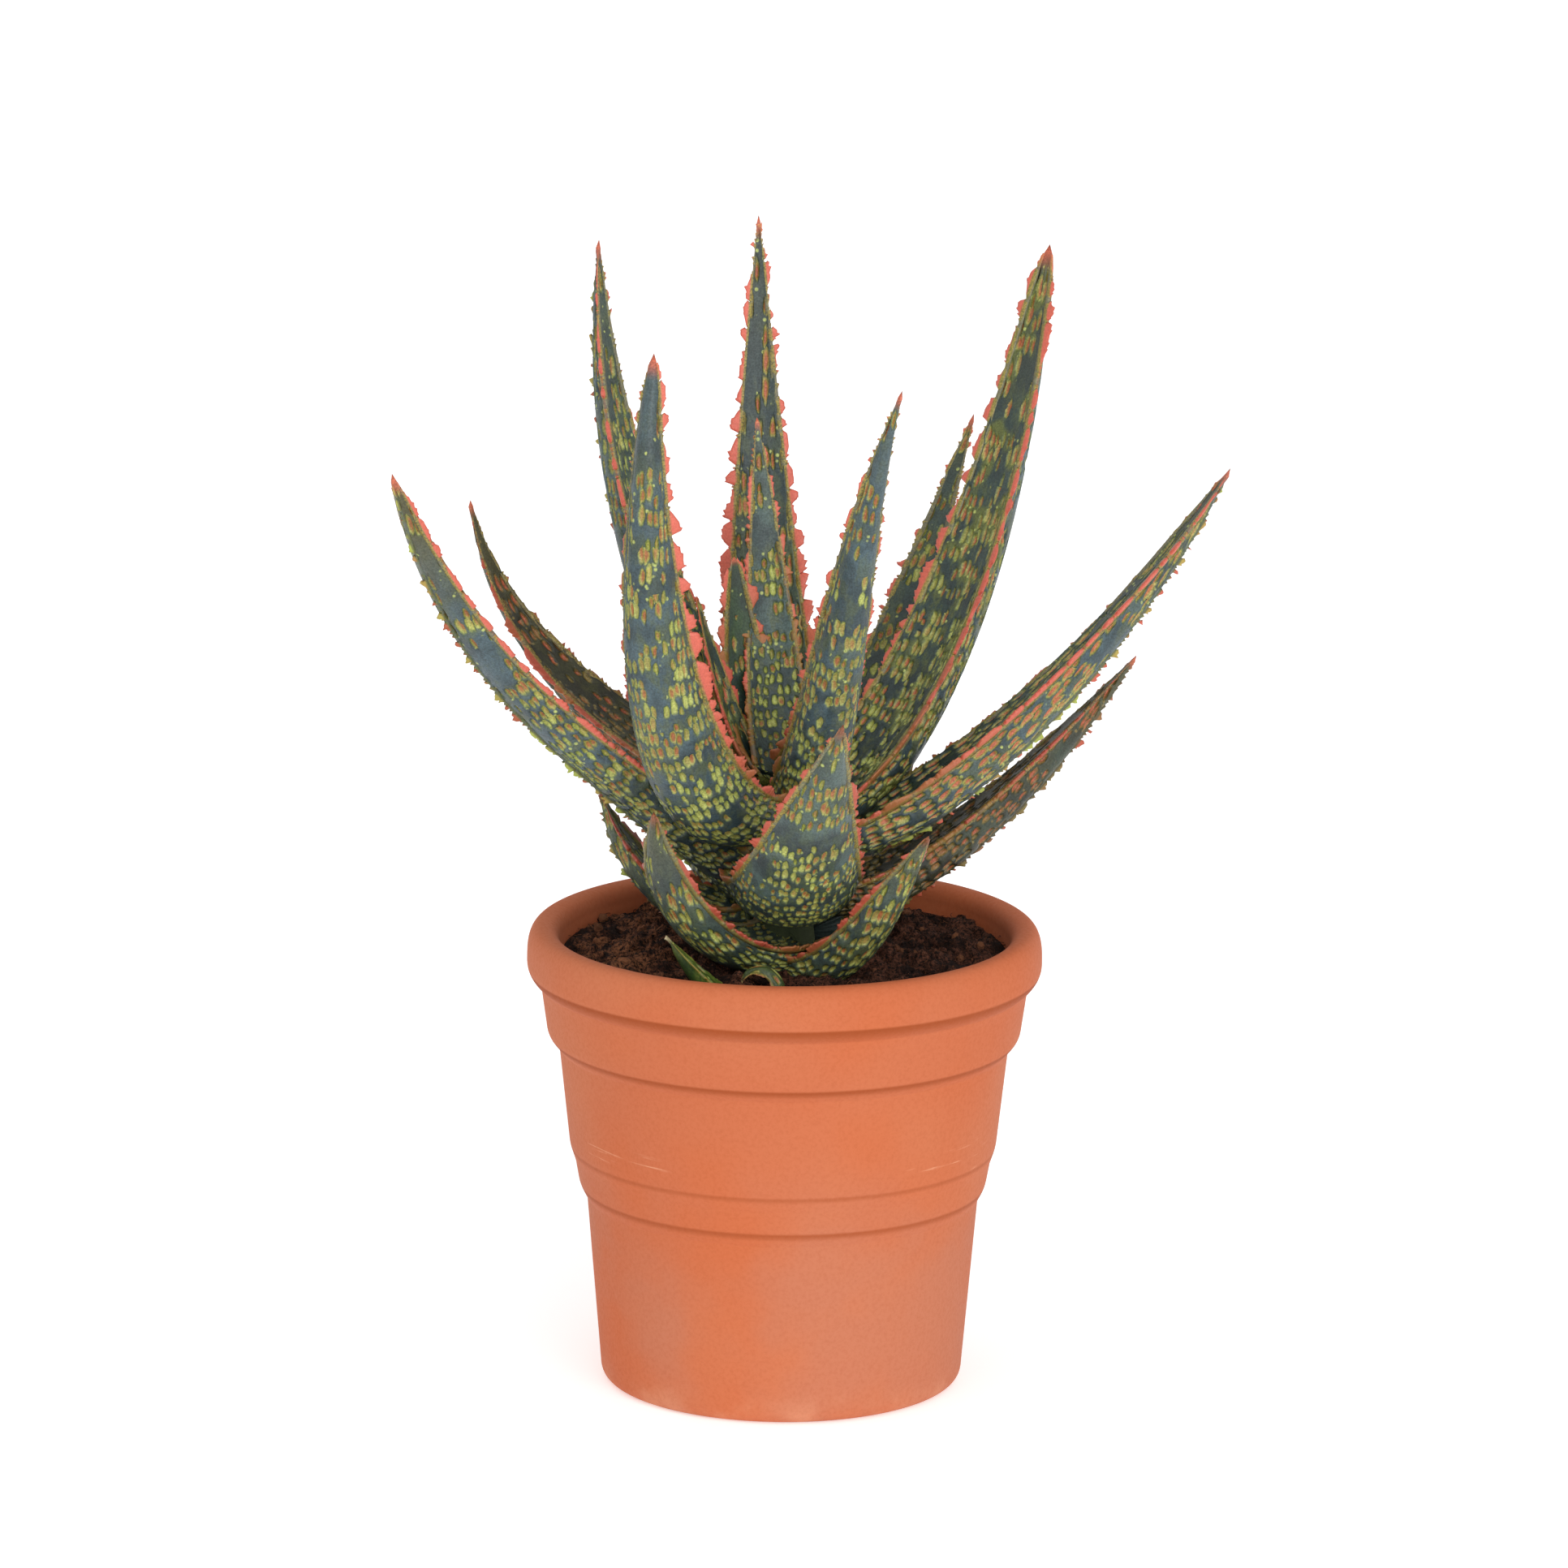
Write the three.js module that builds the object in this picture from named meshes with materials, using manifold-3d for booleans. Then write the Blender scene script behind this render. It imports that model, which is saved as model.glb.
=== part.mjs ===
import * as THREE from "three";
import { mergeVertices } from "three/addons/utils/BufferGeometryUtils.js";
import Module from "manifold-3d";

// Potted aloe: a terracotta pot filled with soil, and a rosette of thick keeled leaves on a short stem.
// Millimetres, +Z up. The origin is the middle of the pot's underside, and the front faces -Y.

// ---- Driving dimensions ------------------------------------------------------------------------

const GAP = 0.3; // clearance between neighbouring pieces
const MITRE = 1.25; // a ring's corners move this much farther than its faces, which keeps the clearance
const SEED = 4711; // the jitter of the crest plates starts here

const POT = {
  height: 108.9,
  baseRadius: 42.4,
  baseCorner: 4,
  floor: 6,
  floorCorner: 2,
  wall: 5.4,
  mouthRadius: 52.6,
  mouthHeight: 104.6,
  rimRadius: 60.1,
  rimHeight: 102.2,
  rimFoot: 100.6,
  rimRound: 2.9,
  lip: 3.4,
  drains: { count: 3, radius: 4, reach: 22 },
  segments: 40,
};
// Each step of the outer wall, as the radius and height where the wall below ends, and where the next begins.
const STEPS = {
  lowerBand: { below: [45.8, 44], above: [47.6, 47.4] },
  shoulder: { below: [48.6, 53], above: [49.9, 56.8] },
  upperBand: { below: [52.5, 80.4], above: [55.2, 83.6] },
  neck: { below: [56.6, 93.4], above: [57.2, 95.6] },
};
const SOIL = { level: 102.2, lumps: 1.1, mound: 1.6, rings: 6, segments: 36 };
const STEM = { bottom: 84, top: 145, lowRadius: 9.5, topRadius: 2.6, segments: 20 };

// A leaf's cross-section, as shares of its width and thickness. Across runs from 0 at the midrib to 1 at
// the margin, depth from 0 on the inner face to 1 on the keel.
const SECTION = { root: 0.93, rootDepth: 0.24, edgeDepth: 0.1, flank: 0.52, flankDepth: 0.8 };
// How far a section curls round, in degrees: leaves clasp the stem at the base and lie nearly flat at the tip.
const WRAP = { base: 100, tip: 22 };
// How a blade thins: the least half width and thickness, the power that thins it towards the tip, the share
// of the thickness left at the base, the share of the length over which it swells to the full thickness, the
// depth of the base's middle as a share of the thickness, and the share of the length where the last ring is.
const BLADE = {
  leastHalf: 0.5,
  leastDepth: 0.9,
  thinning: 2.6,
  base: 0.62,
  swell: 0.18,
  baseCap: 0.3,
  lastRing: 0.985,
};
// The midrib's course: the power at which the base's pitch fades, the power of the sweep, how fast the blade
// rolls, and the midrib's steps.
const COURSE = { fade: 4, sweep: 1.5, roll: 1.6, steps: 240 };
// The crest of thin plates along each margin: a plate's height and length, the share of the height left where
// the leaf begins and where the blade runs out with the rate of its growth from there, the height left in the
// notches, where along a plate it has risen and where it is highest, as shares, and how far plates differ.
const CREST = {
  height: 2.3,
  plate: 12,
  atBase: [0.5, 4],
  atTip: [0.35, 1.5],
  fewest: 3,
  notch: 0.35,
  rise: 0.2,
  risen: 0.75,
  lip: 0.86,
  reach: [0.8, 1.2],
  shift: 0.25,
};

// The leaves, from the heart of the rosette outwards, and the young shoots by the rim. Azimuth is in degrees
// from the front towards the right; start is the radius and height where the midrib begins, at the azimuth or
// at the bearing where one is given; pitch is the climb in degrees at the base, soon after it, and at the tip;
// sweep is the turn in degrees at the tip; roll is how far the blade turns about its midrib, in degrees
// anticlockwise as seen from the tip; size is the width and thickness; taper sets how late it narrows, and
// blunt how much wider the end is.
const LEAVES = [
  {
    name: "leaf_bud", azimuth: 60, start: [0.5, 148.5],
    length: 18, pitch: [60, 75, 80], size: [9, 4], taper: 2,
  },
  {
    name: "leaf_heart", azimuth: -146, start: [3.3, 143.4],
    length: 55, pitch: [25, 73, 83], sweep: -2, size: [13, 5.1], taper: 2.8, blunt: 0.4,
  },
  {
    name: "leaf_inner", azimuth: -169, start: [3, 144.8],
    length: 85, pitch: [45, 72, 75], sweep: 6, size: [15.3, 7.5], taper: 1.4,
  },
  {
    name: "leaf_inner_left", azimuth: -118, start: [3, 139],
    length: 51, pitch: [43, 68, 73], size: [9, 5], taper: 1.7,
  },
  {
    name: "leaf_back_tall", azimuth: -172, start: [4, 139.4],
    length: 145, pitch: [17, 72, 82], sweep: -3, size: [27.4, 9.1], taper: 1,
  },
  {
    name: "leaf_front_right", azimuth: 20, bearing: 7, start: [5, 136.9],
    length: 124, pitch: [33, 81.5, 66], sweep: 23, roll: -20, size: [14.4, 9.1], taper: 1.9,
  },
  {
    name: "leaf_front_left", azimuth: -33, start: [6.1, 139.6],
    length: 142, pitch: [-10, 61, 98], roll: 22, size: [25.4, 10.3], taper: 1.35, blunt: 0.4,
  },
  {
    name: "leaf_left_upright", azimuth: -116, start: [5, 135.1],
    length: 141, pitch: [58, 52, 88], sweep: -5, size: [18.1, 8.8], taper: 2.2,
  },
  {
    name: "leaf_right_tall", azimuth: 131, start: [2.7, 131.9],
    length: 157, pitch: [20, 55, 73], sweep: 12, roll: -9, size: [21.8, 9.4], taper: 2.8, blunt: 0.8,
  },
  {
    name: "leaf_left_back", azimuth: -118, start: [7, 130.8],
    length: 107, pitch: [40, -8, 79], sweep: 25, roll: -30, size: [16.4, 6.9], taper: 1.5,
  },
  {
    name: "leaf_right_long", azimuth: 101, start: [9.1, 128.3],
    length: 133, pitch: [22, 41, 43], sweep: 31, roll: -20, size: [18.6, 8.6], taper: 3, blunt: 0.2,
  },
  {
    name: "leaf_left_long", azimuth: -69, start: [9.3, 119.2],
    length: 147, pitch: [53, 18, 64], sweep: 33, roll: -8, size: [25, 7.8], taper: 2.6, blunt: 0.3,
  },
  {
    name: "leaf_back_right", azimuth: 156, start: [7, 125.4],
    length: 133, pitch: [21, 41, 48], sweep: -1, size: [16.4, 7.5], taper: 1.8,
  },
  {
    name: "leaf_right_low", azimuth: 112, start: [8.9, 115.6],
    length: 96, pitch: [7, 34, 42], sweep: 1, roll: -14, size: [15.8, 8.7], taper: 2,
  },
  {
    name: "leaf_front", azimuth: 4, start: [11, 119],
    length: 93, pitch: [-2, 42, 54], sweep: 17, size: [34, 7], taper: 1.6,
  },
  {
    name: "leaf_low_left_back", azimuth: -99, start: [8, 112],
    length: 48, pitch: [-9, 17, 68], sweep: 1, size: [18.6, 6.9], taper: 1.6,
  },
  {
    name: "leaf_low_left", azimuth: -60, bearing: 22, start: [13, 107],
    length: 66, pitch: [-12, 4, 84], sweep: 28, size: [29, 5.2], taper: 2,
  },
  {
    name: "leaf_low_right", azimuth: 55, bearing: 5, start: [16, 103.6],
    length: 58, pitch: [-2, 60, 49], sweep: -17, size: [21, 6.2], taper: 1.9,
  },
  {
    name: "leaf_low_back_left", azimuth: -150, start: [9, 115.5],
    length: 88, pitch: [0, 26, 56], size: [21, 8], taper: 1.7,
  },
  {
    name: "leaf_low_back", azimuth: 178, start: [9, 109.5],
    length: 78, pitch: [-8, 24, 60], size: [22, 8], taper: 1.7,
  },
  {
    name: "leaf_low_back_right", azimuth: 146, start: [9, 107.5],
    length: 60, pitch: [-10, 28, 64], size: [21, 7.5], taper: 1.7,
  },
  {
    name: "shoot_left", azimuth: -93, bearing: -12.1, start: [38.6, 97.5],
    length: 26.5, pitch: [41, 39, 47], size: [7, 4.4], taper: 1.6,
  },
  {
    name: "shoot_curled", azimuth: 90, bearing: -3, start: [36.3, 99.5],
    length: 15, pitch: [90, 20, 262], size: [5, 2.4], taper: 2.2,
  },
  {
    name: "shoot_right", azimuth: 84, bearing: 8.5, start: [40.4, 98],
    length: 16, pitch: [46, 20, 6], size: [7, 3.4], taper: 1.8,
  },
];

const COLOURS = {
  pot: { color: 0xdb7a50, roughness: 0.78 },
  soil: { color: 0x3a241c, roughness: 0.96 },
  stem: { color: 0x7c7a4a, roughness: 0.7 },
  leaf: { color: 0x4d5f58, roughness: 0.5 },
  shoot: { color: 0x5f7a2c, roughness: 0.5 },
};

// ---- Helpers -----------------------------------------------------------------------------------

const radians = THREE.MathUtils.degToRad;
const wasm = await Module();
wasm.setup();

/** A closed geometry as a solid for joining and cutting. */
function solidOf(geometry) {
  const bare = geometry.clone();
  bare.deleteAttribute("normal");
  bare.deleteAttribute("uv");
  const merged = mergeVertices(bare, 1e-3);
  return new wasm.Manifold(
    new wasm.Mesh({
      numProp: 3,
      vertProperties: merged.attributes.position.array,
      triVerts: new Uint32Array(merged.index.array),
    }),
  );
}

/** The largest body of a solid, as a geometry. */
function geometryOf(solid) {
  const bodies = solid.decompose().sort((a, b) => b.volume() - a.volume());
  const { vertProperties, triVerts } = bodies[0].getMesh();
  const geometry = new THREE.BufferGeometry();
  geometry.setAttribute("position", new THREE.BufferAttribute(vertProperties, 3));
  geometry.setIndex(new THREE.BufferAttribute(triVerts, 1));
  geometry.computeVertexNormals();
  return geometry;
}

/** A named mesh with a plain finish of its own. */
function meshOf(name, geometry, finish) {
  const mesh = new THREE.Mesh(geometry, new THREE.MeshStandardMaterial({ ...finish, metalness: 0 }));
  mesh.name = name;
  return mesh;
}

/** A solid turned about the pot's axis from an outline of radius and height. */
function turned(outline, segments) {
  const geometry = new THREE.LatheGeometry(outline, segments);
  geometry.rotateX(Math.PI / 2);
  return geometry;
}

/** Numbers from 0 to 1 that repeat with the same seed. */
function randomFrom(seed) {
  let state = seed;
  return () => {
    state = (state * 1664525 + 1013904223) % 4294967296;
    return state / 4294967296;
  };
}

// ---- Pot ---------------------------------------------------------------------------------------

/** The inner wall's radius at a height. */
function innerRadius(z) {
  const share = (z - POT.floor) / (POT.mouthHeight - POT.floor);
  return THREE.MathUtils.lerp(POT.baseRadius - POT.wall, POT.mouthRadius, share);
}

/** The pot's closed outline, up the outside and down the inside. */
function potOutline() {
  const outline = new THREE.Path();
  const { baseRadius, baseCorner, rimRadius, rimFoot, rimRound, rimHeight, height, lip } = POT;
  const { mouthRadius, mouthHeight, floor, floorCorner } = POT;
  outline.moveTo(0, 0);
  outline.lineTo(baseRadius - baseCorner, 0);
  outline.quadraticCurveTo(baseRadius, 0, baseRadius, baseCorner);
  for (const { below, above } of Object.values(STEPS)) {
    outline.lineTo(...below);
    outline.lineTo(...above);
  }
  outline.quadraticCurveTo(rimRadius, rimFoot - rimRound, rimRadius, rimFoot);
  outline.lineTo(rimRadius, rimHeight);
  outline.quadraticCurveTo(rimRadius, height, rimRadius - lip, height);
  outline.quadraticCurveTo(mouthRadius, height, mouthRadius, mouthHeight);
  outline.lineTo(innerRadius(floor + floorCorner), floor + floorCorner);
  outline.lineTo(innerRadius(floor) - floorCorner, floor);
  outline.lineTo(0, floor);
  return outline.getPoints(4);
}

/** The pot's shell, with its drain holes. */
function pot() {
  let shell = solidOf(turned(potOutline(), POT.segments));
  const { count, radius, reach } = POT.drains;
  for (let i = 0; i < count; i += 1) {
    const drain = new THREE.CylinderGeometry(radius, radius, POT.floor * 3, 16);
    const angle = radians(90 + (360 * i) / count);
    drain.rotateX(Math.PI / 2).translate(reach * Math.cos(angle), reach * Math.sin(angle), 0);
    shell = shell.subtract(solidOf(drain));
  }
  return meshOf("pot", geometryOf(shell), COLOURS.pot);
}

// ---- Soil and stem -----------------------------------------------------------------------------

/** The lift of the soil's surface at a point: a low mound round the stem, with lumps. */
function soilLift(x, y) {
  const edge = Math.hypot(x, y) / POT.mouthRadius;
  const lumps = Math.sin(0.31 * x + 1.3) * Math.cos(0.27 * y - 0.6) + 0.6 * Math.sin(0.53 * y + 0.44 * x);
  return SOIL.mound * (1 - edge * edge) + SOIL.lumps * lumps * Math.min(1, 3 * (1 - edge));
}

/** The soil that fills the pot, before the plant's holes are cut. */
function soilGeometry() {
  const { level, rings, segments } = SOIL;
  const bottom = POT.floor + GAP;
  const corner = POT.floorCorner + 1;
  const rim = innerRadius(level) - GAP;
  const outline = [
    new THREE.Vector2(0, bottom),
    new THREE.Vector2(innerRadius(bottom) - POT.floorCorner - GAP, bottom),
    new THREE.Vector2(innerRadius(bottom + corner) - GAP, bottom + corner),
  ];
  for (let i = 0; i < rings; i += 1) {
    outline.push(new THREE.Vector2(rim * (1 - i / rings), level));
  }
  outline.push(new THREE.Vector2(0, level));
  const geometry = turned(outline, segments);
  const place = geometry.attributes.position;
  for (let i = 0; i < place.count; i += 1) {
    if (Math.abs(place.getZ(i) - level) < 1e-3) {
      place.setZ(i, level + soilLift(place.getX(i), place.getY(i)));
    }
  }
  return geometry;
}

/** The short tapering stem, grown outwards by a clearance where it is used as a cutter. */
function stemGeometry(grow = 0) {
  const { bottom, top, lowRadius, topRadius, segments } = STEM;
  const outline = [
    new THREE.Vector2(0, bottom - grow),
    new THREE.Vector2(lowRadius + grow, bottom - grow),
    new THREE.Vector2(topRadius + grow, top + grow),
    new THREE.Vector2(0, top + grow),
  ];
  return turned(outline, segments);
}

// ---- Leaves ------------------------------------------------------------------------------------

/** How far along the leaf its sections stand, with the crest's reach to the left and right there. */
function crestRhythm(leaf, random) {
  const plates = Math.max(CREST.fewest, Math.round(leaf.length / CREST.plate));
  const rhythm = [];
  for (let i = 0; i < plates; i += 1) {
    const reach = [random(), random()].map((share) => THREE.MathUtils.lerp(...CREST.reach, share));
    const start = (i + CREST.shift * (random() - 0.5)) / plates;
    rhythm.push({ t: Math.max(0, start), reach: reach.map(() => CREST.notch) });
    rhythm.push({ t: start + CREST.rise / plates, reach: reach.map((r) => CREST.risen * r) });
    rhythm.push({ t: start + CREST.lip / plates, reach });
  }
  return rhythm;
}

/** The midrib's place and the section's axes at each share of the leaf's length. */
function midrib(leaf, shares) {
  const [startRadius, startHeight] = leaf.start;
  const [base, low, tip] = leaf.pitch;
  const bearing = radians(leaf.bearing ?? leaf.azimuth);
  const place = new THREE.Vector3(
    startRadius * Math.sin(bearing),
    -startRadius * Math.cos(bearing),
    startHeight,
  );
  const frames = [];
  let next = 0;
  for (let i = 0; i <= COURSE.steps; i += 1) {
    const t = i / COURSE.steps;
    const pitch = radians(low + (tip - low) * t + (base - low) * (1 - t) ** COURSE.fade);
    const heading = radians(leaf.azimuth + (leaf.sweep ?? 0) * t ** COURSE.sweep);
    const along = new THREE.Vector3(
      Math.cos(pitch) * Math.sin(heading),
      -Math.cos(pitch) * Math.cos(heading),
      Math.sin(pitch),
    );
    while (next < shares.length && shares[next] <= t + 1e-9) {
      const roll = radians(leaf.roll ?? 0) * Math.min(1, COURSE.roll * t);
      const side = new THREE.Vector3(Math.cos(heading), Math.sin(heading), 0).applyAxisAngle(along, roll);
      frames.push({ place: place.clone(), side, up: along.clone().cross(side), along });
      next += 1;
    }
    place.addScaledVector(along, leaf.length / COURSE.steps);
  }
  return frames;
}

/** One section's ring of points in its own plane, from the left margin over the inner face and back. */
function sectionRing(leaf, t, reach, grow) {
  const [width, thickness] = leaf.size;
  const narrowing = 1 - t ** leaf.taper + (leaf.blunt ?? 0) * t ** 8 * Math.sqrt(1 - t);
  const half = Math.max(BLADE.leastHalf, (width / 2) * narrowing);
  const swell = THREE.MathUtils.lerp(BLADE.base, 1, Math.min(1, t / BLADE.swell));
  const depth = Math.max(BLADE.leastDepth, thickness * (1 - t ** BLADE.thinning) * swell);
  const wrap = radians(THREE.MathUtils.lerp(WRAP.tip, WRAP.base, (1 - t) ** 2));
  const grown = ([least, rate], from) => Math.min(1, least + rate * from);
  const crest = CREST.height * grown(CREST.atTip, narrowing) * grown(CREST.atBase, t);
  const radius = (2 * half) / wrap;
  const point = (across, down, out = 0) => {
    const angle = (across * wrap) / 2;
    const from = radius + down * depth;
    return new THREE.Vector2(
      from * Math.sin(angle) + out * Math.cos(angle) * Math.sign(across),
      radius - from * Math.cos(angle) + out * Math.abs(Math.sin(angle)),
    );
  };
  const { root, rootDepth, edgeDepth, flank, flankDepth } = SECTION;
  const ring = [
    point(-1, edgeDepth, crest * reach[0]),
    point(-root, 0),
    point(0, 0),
    point(root, 0),
    point(1, edgeDepth, crest * reach[1]),
    point(root, rootDepth),
    point(flank, flankDepth),
    point(0, 1),
    point(-flank, flankDepth),
    point(-root, rootDepth),
  ];
  return grow ? grownRing(ring, MITRE * grow) : ring;
}

/** A ring of points moved outwards by a distance. */
function grownRing(ring, distance) {
  const turnOf = (from, to) => new THREE.Vector2(-(to.y - from.y), to.x - from.x).normalize();
  return ring.map((point, i) => {
    const before = turnOf(ring.at(i - 1), point);
    const after = turnOf(point, ring[(i + 1) % ring.length]);
    return point.clone().addScaledVector(before.add(after).normalize(), distance);
  });
}

/** A leaf's closed geometry, lofted through its sections to a point. */
function leafGeometry(leaf, rhythm, grow = 0) {
  const stations = rhythm.filter(({ t }) => t < BLADE.lastRing);
  const frames = midrib(leaf, [...stations.map(({ t }) => t), 1]);
  const placed = ({ place, side, up, along }, across, inward, ahead) =>
    place.clone().addScaledVector(side, across).addScaledVector(up, inward).addScaledVector(along, ahead);
  const rings = stations.map(({ t, reach }, i) =>
    sectionRing(leaf, t, reach, grow).map(({ x, y }) => placed(frames[i], x, y, 0)),
  );
  const baseEnd = placed(frames[0], 0, -BLADE.baseCap * leaf.size[1], -grow);
  const tipEnd = placed(frames.at(-1), 0, 0, grow);
  return loft(rings, baseEnd, tipEnd);
}

/** Rings of points joined by triangles that match on both faces, closed by a point at each end. */
function loft(rings, baseEnd, tipEnd) {
  const size = rings[0].length;
  const last = (rings.length - 1) * size;
  const points = [...rings.flat(), baseEnd, tipEnd];
  const [baseCap, tipCap] = [points.length - 2, points.length - 1];
  const faces = [];
  for (let i = 0; i < size; i += 1) {
    const j = (i + 1) % size;
    for (let k = 0; k < last; k += size) {
      const [a, b, c, d] = [k + i, k + j, k + size + i, k + size + j];
      if (i < size / 2 - 1) faces.push(a, d, b, a, c, d);
      else faces.push(a, c, b, b, c, d);
    }
    faces.push(baseCap, i, j, tipCap, last + j, last + i);
  }
  const geometry = new THREE.BufferGeometry();
  geometry.setAttribute("position", new THREE.Float32BufferAttribute(points.flatMap((p) => p.toArray()), 3));
  geometry.setIndex(faces);
  geometry.computeVertexNormals();
  return geometry;
}

// ---- Assembly ----------------------------------------------------------------------------------

const plant = new THREE.Group();
plant.add(pot());

const random = randomFrom(SEED);
let taken = solidOf(stemGeometry(GAP));
plant.add(meshOf("stem", geometryOf(solidOf(stemGeometry())), COLOURS.stem));
for (const leaf of LEAVES) {
  const rhythm = crestRhythm(leaf, random);
  const whole = solidOf(leafGeometry(leaf, rhythm));
  const finish = leaf.name.startsWith("shoot") ? COLOURS.shoot : COLOURS.leaf;
  plant.add(meshOf(leaf.name, geometryOf(whole.subtract(taken)), finish));
  taken = taken.add(solidOf(leafGeometry(leaf, rhythm, GAP)));
}
plant.add(meshOf("soil", geometryOf(solidOf(soilGeometry()).subtract(taken)), COLOURS.soil));

export default plant;
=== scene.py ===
"""A potted aloe: a rosette of keeled leaves with warts and toothed crests, in a stepped terracotta pot."""

import logging
import math
from dataclasses import dataclass
from enum import Enum

import bmesh
import bpy
import numpy as np
from mathutils import Matrix, Vector


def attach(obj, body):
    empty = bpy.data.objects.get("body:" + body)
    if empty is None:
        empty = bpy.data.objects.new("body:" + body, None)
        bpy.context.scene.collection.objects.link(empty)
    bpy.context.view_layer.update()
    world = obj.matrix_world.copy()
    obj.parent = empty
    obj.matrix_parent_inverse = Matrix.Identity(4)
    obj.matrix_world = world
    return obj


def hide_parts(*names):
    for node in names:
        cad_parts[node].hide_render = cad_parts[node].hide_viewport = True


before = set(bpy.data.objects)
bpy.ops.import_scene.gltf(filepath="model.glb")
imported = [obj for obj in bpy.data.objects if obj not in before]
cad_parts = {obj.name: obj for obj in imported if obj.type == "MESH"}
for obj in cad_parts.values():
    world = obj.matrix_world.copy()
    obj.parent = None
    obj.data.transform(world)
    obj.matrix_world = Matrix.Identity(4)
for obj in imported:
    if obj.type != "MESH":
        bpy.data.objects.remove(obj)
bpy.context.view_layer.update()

Arrays = tuple[np.ndarray, ...]
Path = list[tuple[float, float]]
Socket = bpy.types.NodeSocket
MM = 0.001
TURN = 6.28
LINE = "LINEAR"
IMAGE_SIDE = 1932
SENSOR = 36.0

logging.basicConfig(level=logging.INFO, format="%(name)s: %(message)s")
log = logging.getLogger("aloe")


def tint(red: int, green: int, blue: int) -> tuple[float, float, float, float]:
    """A colour from its 8-bit display values, as the linear values that sockets take."""
    parts = [c / 255 for c in (red, green, blue)]
    linear = [c / 12.92 if c <= 0.04045 else ((c + 0.055) / 1.055) ** 2.4 for c in parts]
    return (*linear, 1.0)


# ---- Node trees --------------------------------------------------------------------------------


class Graph:
    """Adds linked nodes to a shader tree or a geometry tree."""

    def __init__(self, tree: bpy.types.NodeTree) -> None:
        """Takes the tree that the nodes go into."""
        self.tree = tree

    def feed(self, socket: Socket, value: object) -> None:
        """Links or sets one input.

        Args:
            socket: the input.
            value: another node's output, a plain value, or None to leave the input as it is.
        """
        if isinstance(value, Socket):
            self.tree.links.new(value, socket)
        elif value is not None:
            socket.default_value = value

    def node(self, kind: str, inputs: dict | None = None, **settings: object) -> bpy.types.Node:
        """Adds a node.

        Args:
            kind: the node's type name.
            inputs: values or outputs for its inputs, by name or index.
            settings: the node's own properties.

        Returns:
            The node.
        """
        made = self.tree.nodes.new(kind)
        for key, value in settings.items():
            setattr(made, key, value)
        for key, value in (inputs or {}).items():
            self.feed(made.inputs[key], value)
        return made

    def math(self, operation: str, *values: object) -> Socket:
        """The result of a Math node on the values."""
        return self.node("ShaderNodeMath", dict(enumerate(values)), operation=operation).outputs[0]

    def times(self, first: object, *more: object) -> Socket:
        """The product of the values."""
        for value in more:
            first = self.math("MULTIPLY", first, value)
        return first

    def plus(self, first: object, second: object) -> Socket:
        """The sum of two values."""
        return self.math("ADD", first, second)

    def times_plus(self, value: object, factor: object, offset: object) -> Socket:
        """A value times a factor, plus an offset."""
        return self.math("MULTIPLY_ADD", value, factor, offset)

    def vector(self, operation: str, *values: object, out: int = 0) -> Socket:
        """The result of a Vector Math node on the values."""
        return self.node("ShaderNodeVectorMath", dict(enumerate(values)), operation=operation).outputs[out]

    def scaled(self, vector: object, scale: object) -> Socket:
        """A vector times a number."""
        return self.node("ShaderNodeVectorMath", {0: vector, "Scale": scale}, operation="SCALE").outputs[0]

    def ramp(self, value: object, low: object, high: object, start: object = 0.0, end: object = 1.0,
             kind: str = "SMOOTHSTEP") -> Socket:
        """A value mapped from low..high to start..end, held outside."""
        inputs = {0: value, 1: low, 2: high, 3: start, 4: end}
        return self.node("ShaderNodeMapRange", inputs, interpolation_type=kind).outputs[0]

    def mix(self, share: object, first: object, second: object, blend: str = "MIX") -> Socket:
        """Two colours mixed by a share."""
        made = self.node("ShaderNodeMix", data_type="RGBA", blend_type=blend)
        for index, value in ((0, share), (6, first), (7, second)):
            self.feed(made.inputs[index], value)
        return made.outputs[2]

    def noise(self, vector: object, scale: float, detail: float = 3.0, roughness: float = 0.55,
              dimensions: str = "3D") -> Socket:
        """Soft noise between 0 and 1 on a vector."""
        inputs = {"Vector": vector, "Scale": scale, "Detail": detail, "Roughness": roughness}
        return self.node("ShaderNodeTexNoise", inputs, noise_dimensions=dimensions).outputs[0]

    def layers(self, colour: object, *over: tuple[object, object]) -> object:
        """A colour with others laid over it in turn, each given as its share and its colour."""
        for share, other in over:
            colour = self.mix(share, colour, other)
        return colour

    def combine(self, x: object, y: object, z: object) -> Socket:
        """A vector from three numbers."""
        return self.node("ShaderNodeCombineXYZ", {0: x, 1: y, 2: z}).outputs[0]

    def parts(self, vector: object) -> list[Socket]:
        """A vector's three numbers."""
        return list(self.node("ShaderNodeSeparateXYZ", {0: vector}).outputs)


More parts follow.
